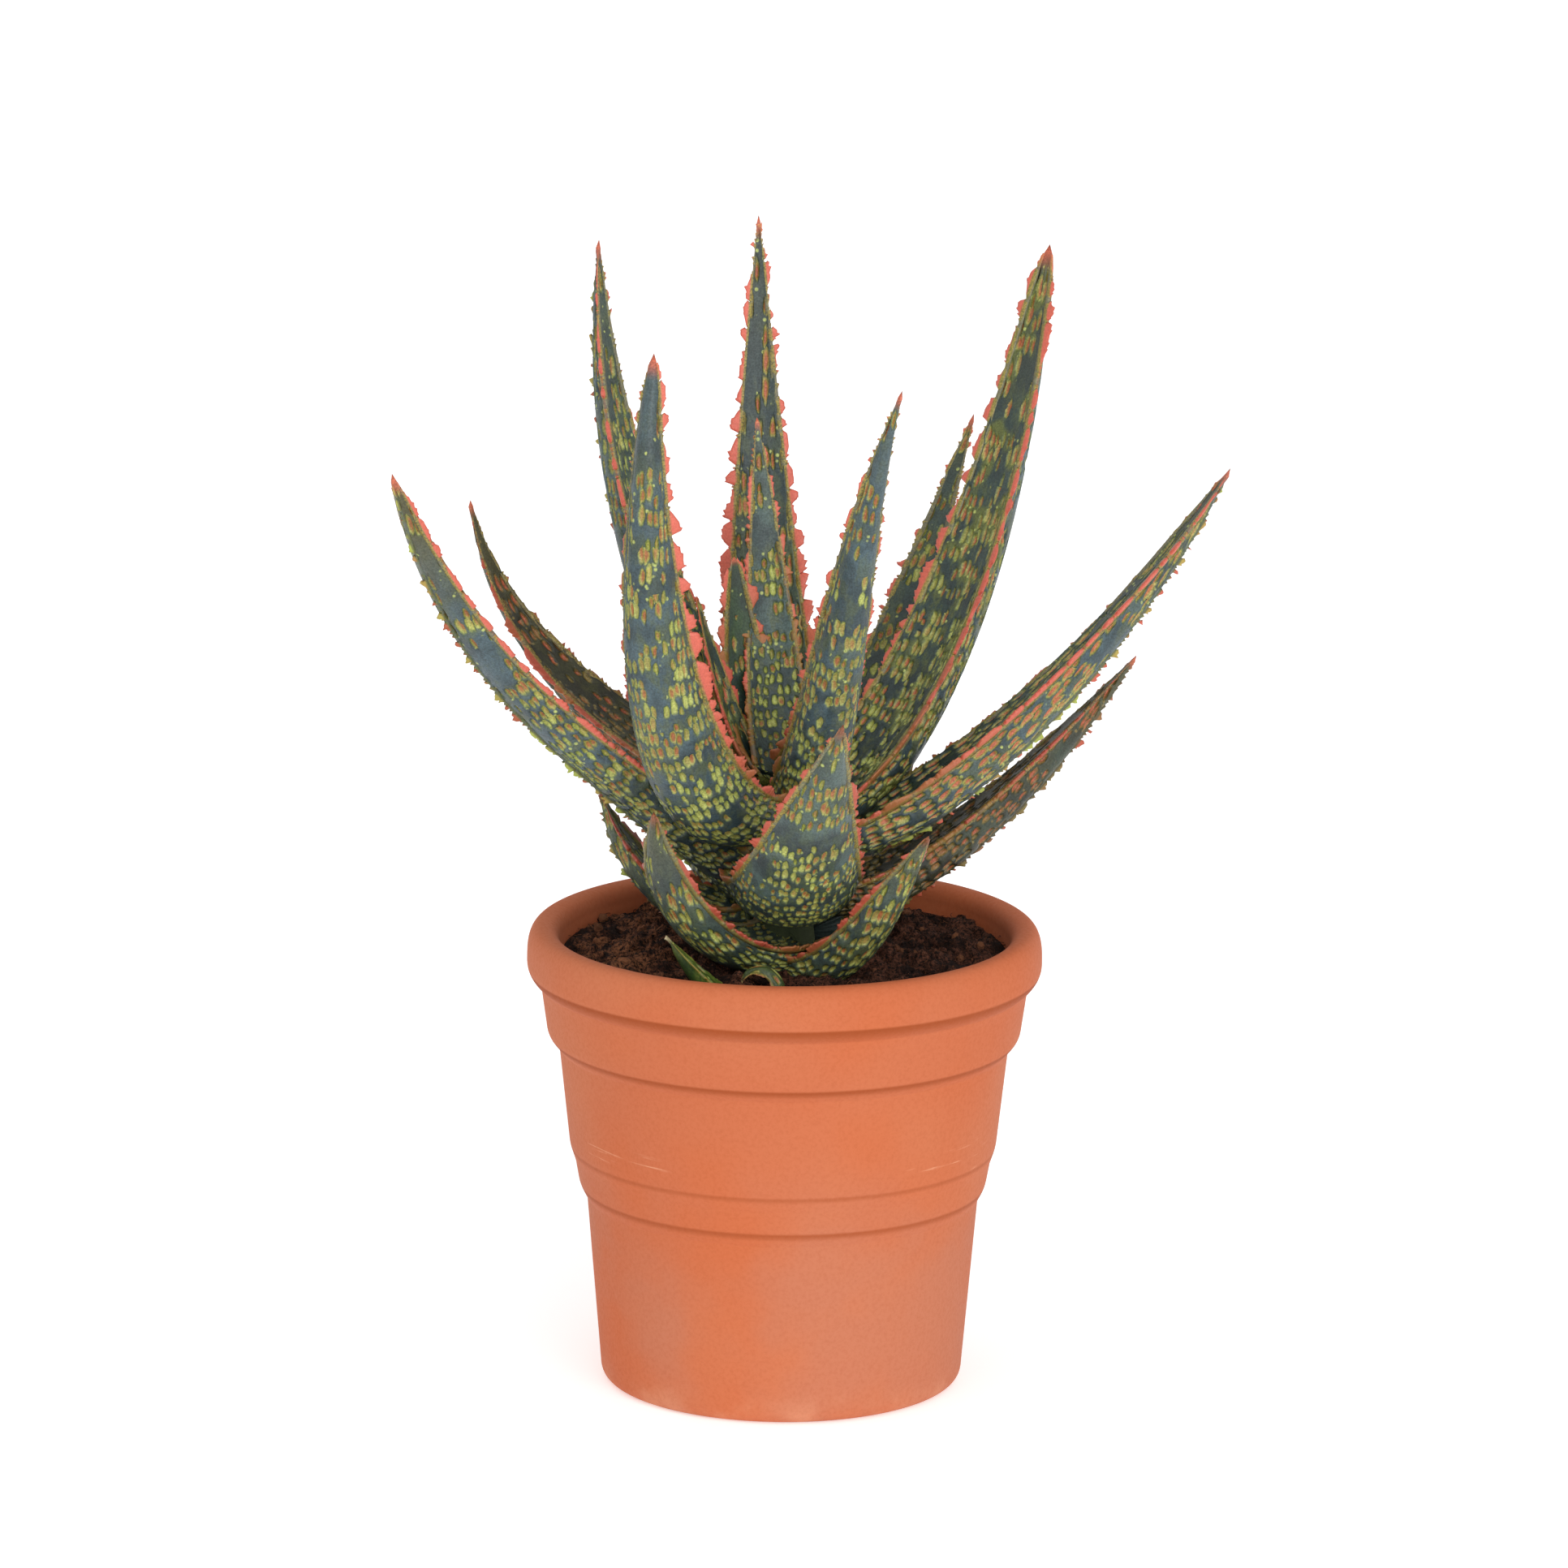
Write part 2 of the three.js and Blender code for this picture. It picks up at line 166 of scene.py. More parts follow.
class GeometryGraph(Graph):
    """A geometry tree with named inputs, which takes a mesh and gives a mesh."""

    def __init__(self, name: str, sizes: dict[str, float]) -> None:
        """Makes the tree and its interface.

        Args:
            name: the tree's name.
            sizes: its named number inputs with their values.
        """
        super().__init__(bpy.data.node_groups.new(name, "GeometryNodeTree"))
        face = self.tree.interface
        face.new_socket("Geometry", in_out="INPUT", socket_type="NodeSocketGeometry")
        for key, value in sizes.items():
            whole = isinstance(value, int)
            kind = "NodeSocketInt" if whole else "NodeSocketFloat"
            face.new_socket(key, in_out="INPUT", socket_type=kind).default_value = value
        face.new_socket("Material", in_out="INPUT", socket_type="NodeSocketMaterial")
        face.new_socket("Geometry", in_out="OUTPUT", socket_type="NodeSocketGeometry")
        self.given = self.tree.nodes.new("NodeGroupInput").outputs
        self.result = self.tree.nodes.new("NodeGroupOutput")

    def named(self, name: str, kind: str = "FLOAT") -> Socket:
        """A stored attribute."""
        made = self.node("GeometryNodeInputNamedAttribute", {"Name": name}, data_type=kind)
        return made.outputs["Attribute"]

    def shifted(self, geometry: object, where: object, offset: object) -> Socket:
        """Geometry with its selected points moved by an offset."""
        inputs = {"Geometry": geometry, "Selection": where, "Offset": offset}
        return self.node("GeometryNodeSetPosition", inputs).outputs[0]

    def random(self, low: object, high: object, seed: int, kind: str = "FLOAT") -> Socket:
        """A random value between two, for each point or instance."""
        inputs = {"Min": low, "Max": high, "Seed": seed}
        return self.node("FunctionNodeRandomValue", inputs, data_type=kind).outputs["Value"]

    def stored(self, geometry: object, name: str, value: object, domain: str = "POINT") -> Socket:
        """Geometry with a number stored on it."""
        inputs = {"Geometry": geometry, "Name": name, "Value": value}
        made = self.node("GeometryNodeStoreNamedAttribute", inputs, data_type="FLOAT", domain=domain)
        return made.outputs[0]

    def strewn(self, ground: object, where: object, density: object, seed: object, **instance: object) -> object:
        """Instances strewn over the selected part of a surface, with inputs for the instancing."""
        spread = {"Mesh": ground, "Selection": where, "Density": density, "Seed": seed}
        spots = self.node("GeometryNodeDistributePointsOnFaces", spread).outputs[0]
        return self.node("GeometryNodeInstanceOnPoints", {"Points": spots} | instance).outputs[0]

    def finish(self, geometry: object) -> None:
        """Ends the tree: instances are made real and the material is set."""
        real = self.node("GeometryNodeRealizeInstances", {0: geometry}).outputs[0]
        dressed = self.node("GeometryNodeSetMaterial", {"Geometry": real, "Material": self.given["Material"]})
        self.feed(self.result.inputs[0], dressed.outputs[0])

    def apply(self, piece: bpy.types.Object, material: bpy.types.Material, **sizes: float) -> None:
        """Runs the tree on a piece and keeps the plain mesh.

        Args:
            piece: the object whose mesh goes through the tree.
            material: the material that the tree sets.
            sizes: values for the tree's named inputs, with spaces in names as underscores.
        """
        modifier = piece.modifiers.new(self.tree.name, "NODES")
        modifier.node_group = self.tree
        wanted = {key.replace("_", " "): value for key, value in sizes.items()} | {"Material": material}
        for item in self.tree.interface.items_tree:
            if item.item_type == "SOCKET" and item.in_out == "INPUT" and item.name in wanted:
                modifier[item.identifier] = wanted[item.name]
        bpy.context.view_layer.update()
        graph = bpy.context.evaluated_depsgraph_get()
        plain = bpy.data.meshes.new_from_object(piece.evaluated_get(graph))
        piece.modifiers.remove(modifier)
        old = piece.data
        piece.data = plain
        plain.name = old.name
        bpy.data.meshes.remove(old)


class ShaderGraph(Graph):
    """A material's tree with one principled shader."""

    def __init__(self, name: str) -> None:
        """Makes the material."""
        self.material = bpy.data.materials.new(name)
        self.material.use_nodes = True
        super().__init__(self.material.node_tree)
        self.shader = self.tree.nodes["Principled BSDF"]

    def named(self, name: str) -> Socket:
        """A number stored on the mesh."""
        return self.node("ShaderNodeAttribute", attribute_name=name).outputs["Fac"]

    def uv(self, name: str) -> Socket:
        """A UV map's place."""
        return self.node("ShaderNodeUVMap", uv_map=name).outputs[0]

    def place(self) -> Socket:
        """The place in the object's own metres."""
        return self.node("ShaderNodeTexCoord").outputs["Object"]

    def surface(self, colour: object, roughness: object, **fixed: float) -> None:
        """Sets the shader's main inputs.

        Args:
            colour: the base colour.
            roughness: the roughness.
            fixed: other inputs, with spaces in names as underscores.
        """
        self.feed(self.shader.inputs["Base Color"], colour)
        self.feed(self.shader.inputs["Roughness"], roughness)
        for key, value in fixed.items():
            self.shader.inputs[key.replace("_", " ")].default_value = value

    def bump(self, height: object, distance: float, strength: float = 1.0, under: object = None) -> object:
        """Adds a bump to the shader's normal and returns it."""
        inputs = {"Height": height, "Distance": distance, "Strength": strength, "Normal": under}
        normal = self.node("ShaderNodeBump", inputs).outputs[0]
        self.feed(self.shader.inputs["Normal"], normal)
        return normal


# ---- Leaves ------------------------------------------------------------------------------------


@dataclass(frozen=True)
class Warts:
    """The pattern of raised oblong warts, in cells of the leaf's skin map.

    One cell is one wart wide and long. The pattern comes out alike in geometry and in shading.
    """

    density: float = 0.66
    bands: float = 1.3
    radius: float = 0.6
    redness: float = 0.2
    across: float = 1.7
    drift: tuple = (0.15, 0.4)

    def spots(self, graph: Graph, skin: object, share: object, edge: object) -> tuple:
        """Adds the pattern's nodes.

        Args:
            graph: the tree they go into.
            skin: the place in the skin map.
            share: how far along the leaf the place is.
            edge: how near the margin the place is.

        Returns:
            The wart's height, its red core, a random tone for each wart, and how crowded warts are round the
            place, all from 0 to 1.
        """
        wobble = graph.node("ShaderNodeTexNoise", {"Vector": skin, "Scale": 1.3, "Detail": 1.0},
                            noise_dimensions="2D").outputs["Color"]
        shaken = graph.vector("ADD", skin, graph.scaled(graph.vector("SUBTRACT", wobble, (0.5, 0.5, 0.5)), 0.4))
        cells = graph.node(
            "ShaderNodeTexVoronoi", {"Vector": shaken, "Scale": 1.0, "Randomness": 0.6, "Exponent": 2.2},
            voronoi_dimensions="2D", feature="F1", distance="MINKOWSKI",
        ).outputs
        chance, size, tone = graph.parts(cells["Color"])

        def cluster(at: object) -> object:
            """Where warts gather, from -0.5 to 0.5."""
            drift = graph.vector("MULTIPLY", at, (*self.drift, 0.0))
            return graph.ramp(graph.noise(drift, 1.0, 1.5, dimensions="2D"), 0.32, 0.68, -0.5, 0.5, LINE)

        crowd = graph.plus(graph.ramp(share, 0.1, 0.75, 0.36, -0.16, LINE),
                           graph.ramp(edge, 0.7, 0.9, 0.0, 0.35))
        limit = graph.times_plus(cluster(cells["Position"]), self.bands, self.density)
        there = graph.math("LESS_THAN", chance, graph.plus(limit, crowd))
        reach = graph.ramp(size, 0.0, 1.0, 0.72 * self.radius, 1.18 * self.radius, LINE)
        body = graph.ramp(cells["Distance"], reach, graph.times(reach, 0.25))
        calm = graph.times(graph.ramp(edge, 0.995, 0.95), graph.ramp(share, 0.985, 0.95))
        height = graph.times(body, there, calm)
        flush = graph.plus(graph.ramp(share, 0.15, 0.9, self.redness, self.redness + 0.75, LINE),
                           graph.ramp(edge, 0.7, 0.9, 0.0, 0.3))
        red = graph.ramp(tone, graph.plus(flush, 0.1), graph.math("SUBTRACT", flush, 0.25), kind=LINE)
        inner = graph.ramp(cells["Distance"], graph.times(reach, 0.85), graph.times(reach, 0.2))
        core = graph.times(inner, red, height)
        return height, core, size, graph.plus(cluster(skin), 0.5)


@dataclass(frozen=True)
class LeafFinish:
    """The look of a leaf's skin, its warts and its crest."""

    name: str
    inner: tuple = tint(58, 78, 72)
    outer: tuple = tint(76, 97, 105)
    band: tuple = tint(40, 54, 56)
    moss: tuple = tint(96, 106, 64)
    wart: tuple = tint(166, 178, 78)
    wart_pale: tuple = tint(206, 216, 118)
    halo: tuple = tint(116, 128, 70)
    core: tuple = tint(172, 90, 56)
    crest: tuple = tint(216, 104, 84)
    crest_root: tuple = tint(160, 142, 66)
    crest_rim: tuple = tint(186, 80, 62)
    crest_olive: tuple = tint(146, 112, 52)
    crest_grain: tuple = tint(178, 76, 58)
    tip: tuple = tint(220, 110, 78)
    dry: tuple = tint(92, 88, 50)
    rusty: tuple = tint(140, 104, 54)
    dust: tuple = (0.55, 0.56, 0.54, 1.0)
    tip_from: float = 0.955
    banding: float = 0.6
    patches: float = 0.25
    dots: float = 0.45
    olive: tuple[float, float] = (0.1, 0.45)
    rust: float = 0.6
    tan: float = 0.15
    warts: Warts = Warts()

    def ground(self, g: ShaderGraph, skin: object, share: object, face: object, crowd: object) -> object:
        """The skin's own colour between the warts.

        Args:
            g: the material's tree.
            skin: the place in the skin map.
            share: how far along the leaf the place is.
            face: 0 on the inner face, 1 on the outer one.
            crowd: how crowded the warts are.

        Returns:
            The colour.
        """
        waves = g.noise(g.vector("MULTIPLY", skin, (0.08, 0.36, 0.0)), 1.0, 2.0, dimensions="2D")
        mottle = g.noise(g.vector("MULTIPLY", skin, (0.4, 0.55, 0.0)), 1.0, 4.0, 0.65, "2D")
        mossy = g.times(g.ramp(mottle, 0.47, 0.64, 0.0, 0.6), g.ramp(share, 0.3, 0.8, 1.0, 0.45))
        return g.layers(
            self.inner,
            (g.ramp(face, 0.3, 0.7), self.outer),
            (g.ramp(waves, 0.42, 0.62, 0.0, self.banding), self.band),
            (mossy, self.moss),
            (g.ramp(mottle, 0.47, 0.34, 0.0, 0.45), self.band),
            (g.ramp(share, 0.45, 0.08, 0.0, 0.55), self.band),
            (g.ramp(share, 0.68, 0.93, 0.0, self.tan), self.dry),
            (g.ramp(crowd, 0.5, 0.8, 0.0, self.patches), self.moss),
        )

    def plates(self, g: ShaderGraph, share: object, grain: object) -> object:
        """The crest's colour, from its olive root to its coral edge."""
        rise, tone, high, keel = g.named("rise"), g.named("tone"), g.named("high"), g.named("keel")
        olive = g.times(g.ramp(share, self.olive[1], self.olive[0]), g.ramp(tone, 0.0, 0.6))
        ridge = g.mix(g.ramp(high, 0.2, 0.7), self.moss, g.mix(g.ramp(tone, 0.2, 0.8), self.wart, self.core))
        return g.layers(
            g.mix(g.ramp(grain, 0.4, 0.62), self.crest_root, self.moss),
            (g.ramp(high, 0.25, 0.75), self.crest),
            (g.ramp(rise, 0.75, 1.0, 0.0, 0.35), self.crest_rim),
            (g.times(olive, 0.75), self.crest_olive),
            (keel, ridge),
            (g.ramp(high, 0.1, 0.0, 0.0, 0.5), self.outer),
            (g.ramp(grain, 0.4, 0.7, 0.0, 0.14), self.crest_grain),
        )

    def material(self) -> bpy.types.Material:
        """Builds the material."""
        g = ShaderGraph(self.name)
        skin, share, edge, face = g.uv("skin"), g.named("share"), g.named("edge"), g.named("face")
        crest = g.math("GREATER_THAN", g.named("crest"), 0.5)
        place = g.place()
        height, core, size, crowd = self.warts.spots(g, skin, share, edge)
        grain = g.noise(place, 2200.0, 3.0, 0.65)
        fleck = g.noise(place, 800.0, 2.0, 0.6)
        dots = g.node("ShaderNodeTexVoronoi", {"Vector": place, "Scale": 620.0, "Randomness": 0.9}).outputs
        few = g.math("LESS_THAN", g.parts(dots["Color"])[0], g.times(g.ramp(crowd, 0.2, 0.7), self.dots))
        dot = g.times(g.ramp(dots["Distance"], 0.36, 0.16), few)
        rusted = g.ramp(g.noise(place, 45.0, 2.0), 0.4, 0.6, 0.15, self.rust)
        ragged = g.times_plus(g.math("SUBTRACT", fleck, 0.5), g.ramp(height, 0.0, 0.3, 0.0, 0.7), height)
        colour = g.layers(
            self.ground(g, skin, share, face, crowd),
            (g.times(dot, 0.75), self.wart_pale),
            (g.ramp(ragged, 0.0, 0.45, 0.0, 0.85), self.halo),
            (g.ramp(ragged, 0.2, 0.8, 0.0, 0.95), g.mix(size, self.wart, self.wart_pale)),
            (g.times(g.ramp(ragged, 0.35, 0.9), rusted), self.rusty),
            (g.times(core, 0.85), self.core),
            (g.ramp(edge, 0.93, 0.985, 0.0, 0.8), self.crest_root),
            (crest, self.plates(g, share, grain)),
            (g.ramp(share, self.tip_from, 0.995, 0.0, 0.95), self.tip),
        )
        dusty = g.times(g.ramp(grain, 0.36, 0.64, 0.0, 0.9), g.times_plus(crest, -0.7, 1.0))
        colour = g.mix(dusty, colour, g.mix(1.0, colour, self.dust, "MULTIPLY"))
        g.surface(colour, g.ramp(grain, 0.2, 0.8, 0.36, 0.56), Subsurface_Weight=0.05, Subsurface_Scale=0.0015)
        fine = g.bump(grain, 0.00012, 0.6)
        g.bump(height, 0.0004, 0.8, fine)
        return g.material


class Coat(Enum):
    """The finishes that the leaves come in."""

    BLUE = LeafFinish("leaf_blue_green")
    TALL = LeafFinish("leaf_tall_sparse", inner=tint(58, 76, 74), halo=tint(108, 112, 74), core=tint(190, 88, 66),
                      warts=Warts(0.72, 1.1, 0.56, 0.75))
    PALE = LeafFinish("leaf_pale_dotted", inner=tint(76, 98, 94), dots=0.7, olive=(0.45, 0.85),
                      warts=Warts(0.62, 1.1, 0.52, 0.3))
    HEART = LeafFinish("leaf_heart_green", inner=tint(52, 74, 60), moss=tint(74, 98, 48), olive=(0.55, 0.95),
                       banding=0.3, warts=Warts(0.1, 1.4, 0.5, 0.2))
    PATCHED = LeafFinish("leaf_patched", tan=0.3, moss=tint(110, 118, 52), patches=0.8, core=tint(194, 92, 66),
                         warts=Warts(0.75, 1.7, 0.6, 0.35))
    # Brownish, partly dried leaves, with their colours also darkened as painted shade for leaves lying in the shade of
    # others.
    DUSKY = LeafFinish("leaf_dusky", tan=0.6, inner=tint(52, 52, 36), outer=tint(58, 70, 56), band=tint(36, 34, 26),
                       moss=tint(78, 78, 42), halo=tint(92, 88, 50), wart=tint(126, 112, 58),
                       wart_pale=tint(150, 130, 72), core=tint(184, 88, 62), crest=tint(176, 78, 58),
                       olive=(0.3, 0.95), warts=Warts(0.75, 1.2, 0.55, 0.4))
    RUSTY = LeafFinish("leaf_rusty", tan=0.4, core=tint(204, 96, 74), warts=Warts(0.85, 1.1, 0.62, 0.9))
    TANNED = LeafFinish("leaf_tanned_tip", tan=0.85, warts=Warts(0.66, 1.3, 0.6, 0.3))
    LOW = LeafFinish("leaf_low", tan=0.5, outer=tint(76, 92, 84), warts=Warts(0.85, 1.5, 0.56, 0.1),
                     crest=tint(172, 78, 56), crest_root=tint(138, 124, 60), tip=tint(150, 84, 50), tip_from=0.93)
    ROWED = LeafFinish("leaf_rowed", outer=tint(86, 106, 104), moss=tint(84, 100, 66), banding=0.8,
                       warts=Warts(0.66, 2.0, 0.54, 0.1, drift=(0.06, 0.5)), crest=tint(186, 84, 62),
                       tip=tint(150, 84, 50), tip_from=0.93)
    YOUNG = LeafFinish("shoot_green", inner=tint(66, 92, 34), outer=tint(54, 80, 32), band=tint(32, 50, 24),
                       moss=tint(124, 140, 52), warts=Warts(0.7, 1.2, 0.5, 0.1), crest=tint(140, 150, 66),
                       crest_root=tint(130, 146, 60), tip=tint(206, 190, 150), tip_from=0.9)
    DOTTED = LeafFinish("shoot_dotted", inner=tint(76, 96, 42), outer=tint(78, 100, 42), band=tint(48, 62, 28),
                        warts=Warts(0.8, 0.6, 0.5, 0.1), crest=tint(150, 110, 60), tip=tint(196, 168, 120),
                        tip_from=0.85)


@dataclass(frozen=True)
class Blade:
    """How every blade and crest is shaped, in millimetres and shares, the blades as in the solids."""

    root: float = 0.93
    root_depth: float = 0.25
    lip: float = 0.05
    keel_power: float = 2.3
    wrap_base: float = 100.0
    wrap_tip: float = 22.0
    least_half: float = 0.5
    least_depth: float = 0.9
    thinning: float = 2.6
    base: float = 0.62
    swell: float = 0.18
    last: float = 0.985
    fade: float = 4.0
    sweep: float = 1.5
    across: float = 0.42
    along: float = 0.5
    crest_height: float = 2.3
    crest_step: float = 0.22
    crest_inset: float = 0.9
    keel_pace: float = 1.7
    tooth: float = 1.25
    roll_pace: float = 1.6
    course_steps: int = 240


BLADE = Blade()
# One flank of a crest: shares of its height with its half thickness there, in millimetres.
CREST_FLANK = ((0, 0.65), (0.22, 0.58), (0.5, 0.46), (0.8, 0.32), (1.0, 0.12))
# How far the skin maps of leaves, and of a leaf's two faces, lie apart, in cells.
MAP_SHIFT = 97.0
MAP_SHIFTS = 31
FACE_SHIFT = 400.0


@dataclass(frozen=True)
class Leaf:
    """One leaf: its course and size in millimetres and degrees, as in the solids, and its finish.

    Azimuth is from the front towards the right, and bearing is the same for the start where it differs. Start is
    the midrib's first radius and height, pitch the climb at the base, soon after it and at the tip, sweep the turn
    at the tip, size the width and thickness, roll the turn about the midrib. Taper and blunt shape the outline.
    Warts and plates of the crest have their lengths at the base and at the tip. Crests are the heights on the left
    and right margins and keel that of the keel, as shares of the usual one.
    """

    name: str
    azimuth: float
    start: tuple[float, float]
    length: float
    pitch: tuple[float, float, float]
    size: tuple[float, float]
    taper: float
    sweep: float = 0.0
    bearing: float | None = None
    coat: Coat = Coat.BLUE
    wart_length: tuple[float, float] = (2.1, 5.4)
    plates: tuple[float, float] = (6.0, 8.0)
    wart_height: float = 0.5
    roll: float = 0.0
    blunt: float = 0.0
    crests: tuple[float, float] = (1.0, 1.0)
    keel: float = 0.0

    def course(self, t: np.ndarray) -> Arrays:
        """The midrib's places and the section's axes.

        Args:
            t: shares of the length.

        Returns:
            The places, and the sideways, upward and forward directions there.
        """
        steps = np.linspace(0, 1, BLADE.course_steps + 1)
        base, low, tip = self.pitch
        pitch = np.radians(low + (tip - low) * steps + (base - low) * (1 - steps) ** BLADE.fade)
        heading = np.radians(self.azimuth + self.sweep * steps ** BLADE.sweep)
        along = np.stack([np.cos(pitch) * np.sin(heading), -np.cos(pitch) * np.cos(heading), np.sin(pitch)], 1)
        bearing = math.radians(self.azimuth if self.bearing is None else self.bearing)
        first = np.array([self.start[0] * math.sin(bearing), -self.start[0] * math.cos(bearing), self.start[1]])
        walked = np.vstack([np.zeros(3), np.cumsum(along[:-1], 0)]) * self.length / BLADE.course_steps + first

        def at(values: np.ndarray) -> np.ndarray:
            """Values of the course at the wanted shares."""
            return np.stack([np.interp(t, steps, values[:, k]) for k in range(3)], 1)

        forward = at(along)
        forward /= np.linalg.norm(forward, axis=1)[:, None]
        turn = np.interp(t, steps, heading)
        level = np.stack([np.cos(turn), np.sin(turn), np.zeros_like(turn)], 1)
        above = np.cross(forward, level)
        roll = (math.radians(self.roll) * np.minimum(1, BLADE.roll_pace * t))[:, None]
        side = level * np.cos(roll) + above * np.sin(roll)
        return at(walked), side, above * np.cos(roll) - level * np.sin(roll), forward

    def spans(self, t: np.ndarray) -> Arrays:
        """Half width, thickness, wrap and crest height at shares of the length."""
        width, thickness = self.size
        narrowing = 1 - t ** self.taper + self.blunt * t ** 8 * np.sqrt(np.maximum(0, 1 - t))
        half = np.maximum(BLADE.least_half, width / 2 * narrowing)
        swell = BLADE.base + (1 - BLADE.base) * np.minimum(1, t / BLADE.swell)
        depth = np.maximum(BLADE.least_depth, thickness * (1 - t ** BLADE.thinning) * swell)
        wrap = np.radians(BLADE.wrap_tip + (BLADE.wrap_base - BLADE.wrap_tip) * (1 - t) ** 2)
        crest = BLADE.crest_height * np.minimum(1, 0.35 + 1.5 * narrowing) * np.minimum(1, 0.5 + 4 * t)
        return half, depth, wrap, crest

    def section(self, t: np.ndarray, across: np.ndarray, down: np.ndarray) -> np.ndarray:
        """Points of the sections in their own planes.

        Args:
            t: shares of the length, one for each section.
            across: places across the leaf, from -1 to 1 at the margins.
            down: places from 0 on the inner face to 1 on the keel.

        Returns:
            The points, by section and place.
        """
        half, depth, wrap, _ = self.spans(t)
        radius = 2 * half / wrap
        angle = across[None] * wrap[:, None] / 2
        reach = radius[:, None] + down[None] * depth[:, None]
        return np.stack([reach * np.sin(angle), radius[:, None] - reach * np.cos(angle)], 2)

    def outline(self) -> tuple[np.ndarray, np.ndarray, int]:
        """A section's places from the left margin over the inner face and back round the keel.

        Returns:
            The places across and down, and how many lie on the inner face.
        """
        b = BLADE
        width = self.size[0]
        inner = np.linspace(-b.root, b.root, max(9, 2 * round(width / b.across / 2) + 1))
        turns = np.linspace(-90, 90, 7)[1:-1]
        lip_across = b.root + b.lip * np.cos(np.radians(turns))
        lip_down = b.root_depth / 2 * (1 + np.sin(np.radians(turns)))
        keel = np.linspace(b.root, -b.root, max(13, 2 * round(1.3 * width / b.across / 2) + 1))
        keel_down = b.root_depth + (1 - b.root_depth) * (1 - (np.abs(keel) / b.root) ** b.keel_power)
        half = 3
        rest = np.s_[-half:], np.s_[:-half]
        left = [(-lip_across[::-1][part], lip_down[::-1][part]) for part in rest]
        sides = [left[0], (inner, 0 * inner), (lip_across, lip_down), (keel, keel_down), left[1]]
        across, down = (np.concatenate(parts) for parts in zip(*sides))
        return across, down, half + len(inner) + half

    def blade(self, parts: "Parts") -> None:
        """Adds the blade, closed at both ends, to the leaf's mesh."""
        rows = max(12, round(self.length / BLADE.along))
        t = np.linspace(0, BLADE.last, rows)
        across, down, inner = self.outline()
        flat = self.section(t, across, down)
        place, side, up, _ = self.course(np.append(t, 1.0))
        points = place[:-1, None] + side[:-1, None] * flat[..., :1] + up[:-1, None] * flat[..., 1:]
        count = len(across)
        # The skin map runs from the midrib on the inner face and from the keel on the outer one.
        steps = np.linalg.norm(np.diff(np.concatenate([flat, flat[:, :1]], 1), axis=1), axis=2)
        walked = np.concatenate([np.zeros((rows, 1)), np.cumsum(steps, 1)], 1)
        middle = int(np.argmin(np.abs(across[:inner]) + down[:inner]))
        keel = inner + int(np.argmax(down[inner:]))
        first, last = self.wart_length
        along = np.cumsum(np.append(0, 1 / (first + (last - first) * t[:-1]))) * self.length * BLADE.last / (rows - 1)
        # Each leaf and each of its faces has a part of the pattern to itself.
        shift = MAP_SHIFT * (sum(map(ord, self.name)) % MAP_SHIFTS)
        maps = [(walked - walked[:, k:k + 1]) / self.coat.value.warts.across + shift + FACE_SHIFT * n
                for n, k in enumerate((middle, keel))]
        ends = [place[0] - up[0] * 0.3 * self.size[1], place[-1]]
        base, tip = rows * count, rows * count + 1
        index = parts.count
        parts.points(np.concatenate([points.reshape(-1, 3), ends]), share=np.append(np.repeat(t, count), [0, 1]),
                     edge=np.append(np.tile(np.abs(across), rows), [0, 0]),
                     face=np.append(np.tile((np.arange(count) >= inner) * 1.0, rows), [1, 1]),
                     rise=0, crest=0, plate=0, tooth=0, reach=0, side=0, keel=0, out=np.zeros(3), ahead=np.zeros(3))
        row = (rows - 1) * count
        for k in range(count):
            n = (k + 1) % count
            chart = maps[0] if k < inner - 1 else maps[1]
            u = np.stack([chart[:-1, k], chart[:-1, k + 1], chart[1:, k + 1], chart[1:, k]], 1)
            v = np.stack([along[:-1], along[:-1], along[1:], along[1:]], 1)
            parts.strip(index, rows, count, k, np.stack([u, v], 2))
            parts.corner(index, (n, k, base), [(shift, 0)] * 3)
            parts.corner(index, (row + k, row + n, tip), [(shift, along[-1])] * 3)

    def crest(self, parts: "Parts", sign: int) -> None:
        """Adds a crest as a flat ribbon, which the relief tree raises into toothed plates.

        Args:
            parts: the leaf's mesh so far.
            sign: -1 for the left margin, 1 for the right one, 0 for the keel.
        """
        b = BLADE
        rows = max(20, round(self.length * 0.97 / b.crest_step))
        t = np.linspace(0.012 if sign else 0.1, b.last, rows)
        half, _, wrap, crest = self.spans(t)
        place, side, up, forward = self.course(t)
        if sign:
            angle = sign * wrap / 2
            spread = sign * np.cos(angle)[:, None] * side + np.abs(np.sin(angle))[:, None] * up
            under = (np.sin(angle)[:, None] * side - np.cos(angle)[:, None] * up) * sign
            flat = self.section(t, np.array([sign * (b.root + b.lip)]), np.array([b.root_depth / 2]))[:, 0]
            pace, crest = 1.0, crest * self.crests[(sign + 1) // 2]
        else:
            spread, under = -up, side
            flat = self.section(t, np.array([0.0]), np.array([1.0]))[:, 0]
            pace, crest = b.keel_pace, crest * self.keel
        margin = place + side * flat[:, :1] + up * flat[:, 1:]
        slim = np.minimum(1, half / 4)[:, None]
        ring = [*CREST_FLANK, *((r, -w) for r, w in CREST_FLANK[::-1])]
        count = len(ring)
        inset = -b.crest_inset * np.minimum(1, half / 3)[:, None]
        points = np.stack([margin + spread * (inset if r == 0 else 0.0) + under * w * slim for r, w in ring], 1)
        first, last = self.plates
        span = np.append(0, np.cumsum(1 / (first + (last - first) * t[:-1]))) * self.length * (t[1] - t[0]) * pace
        index = parts.count
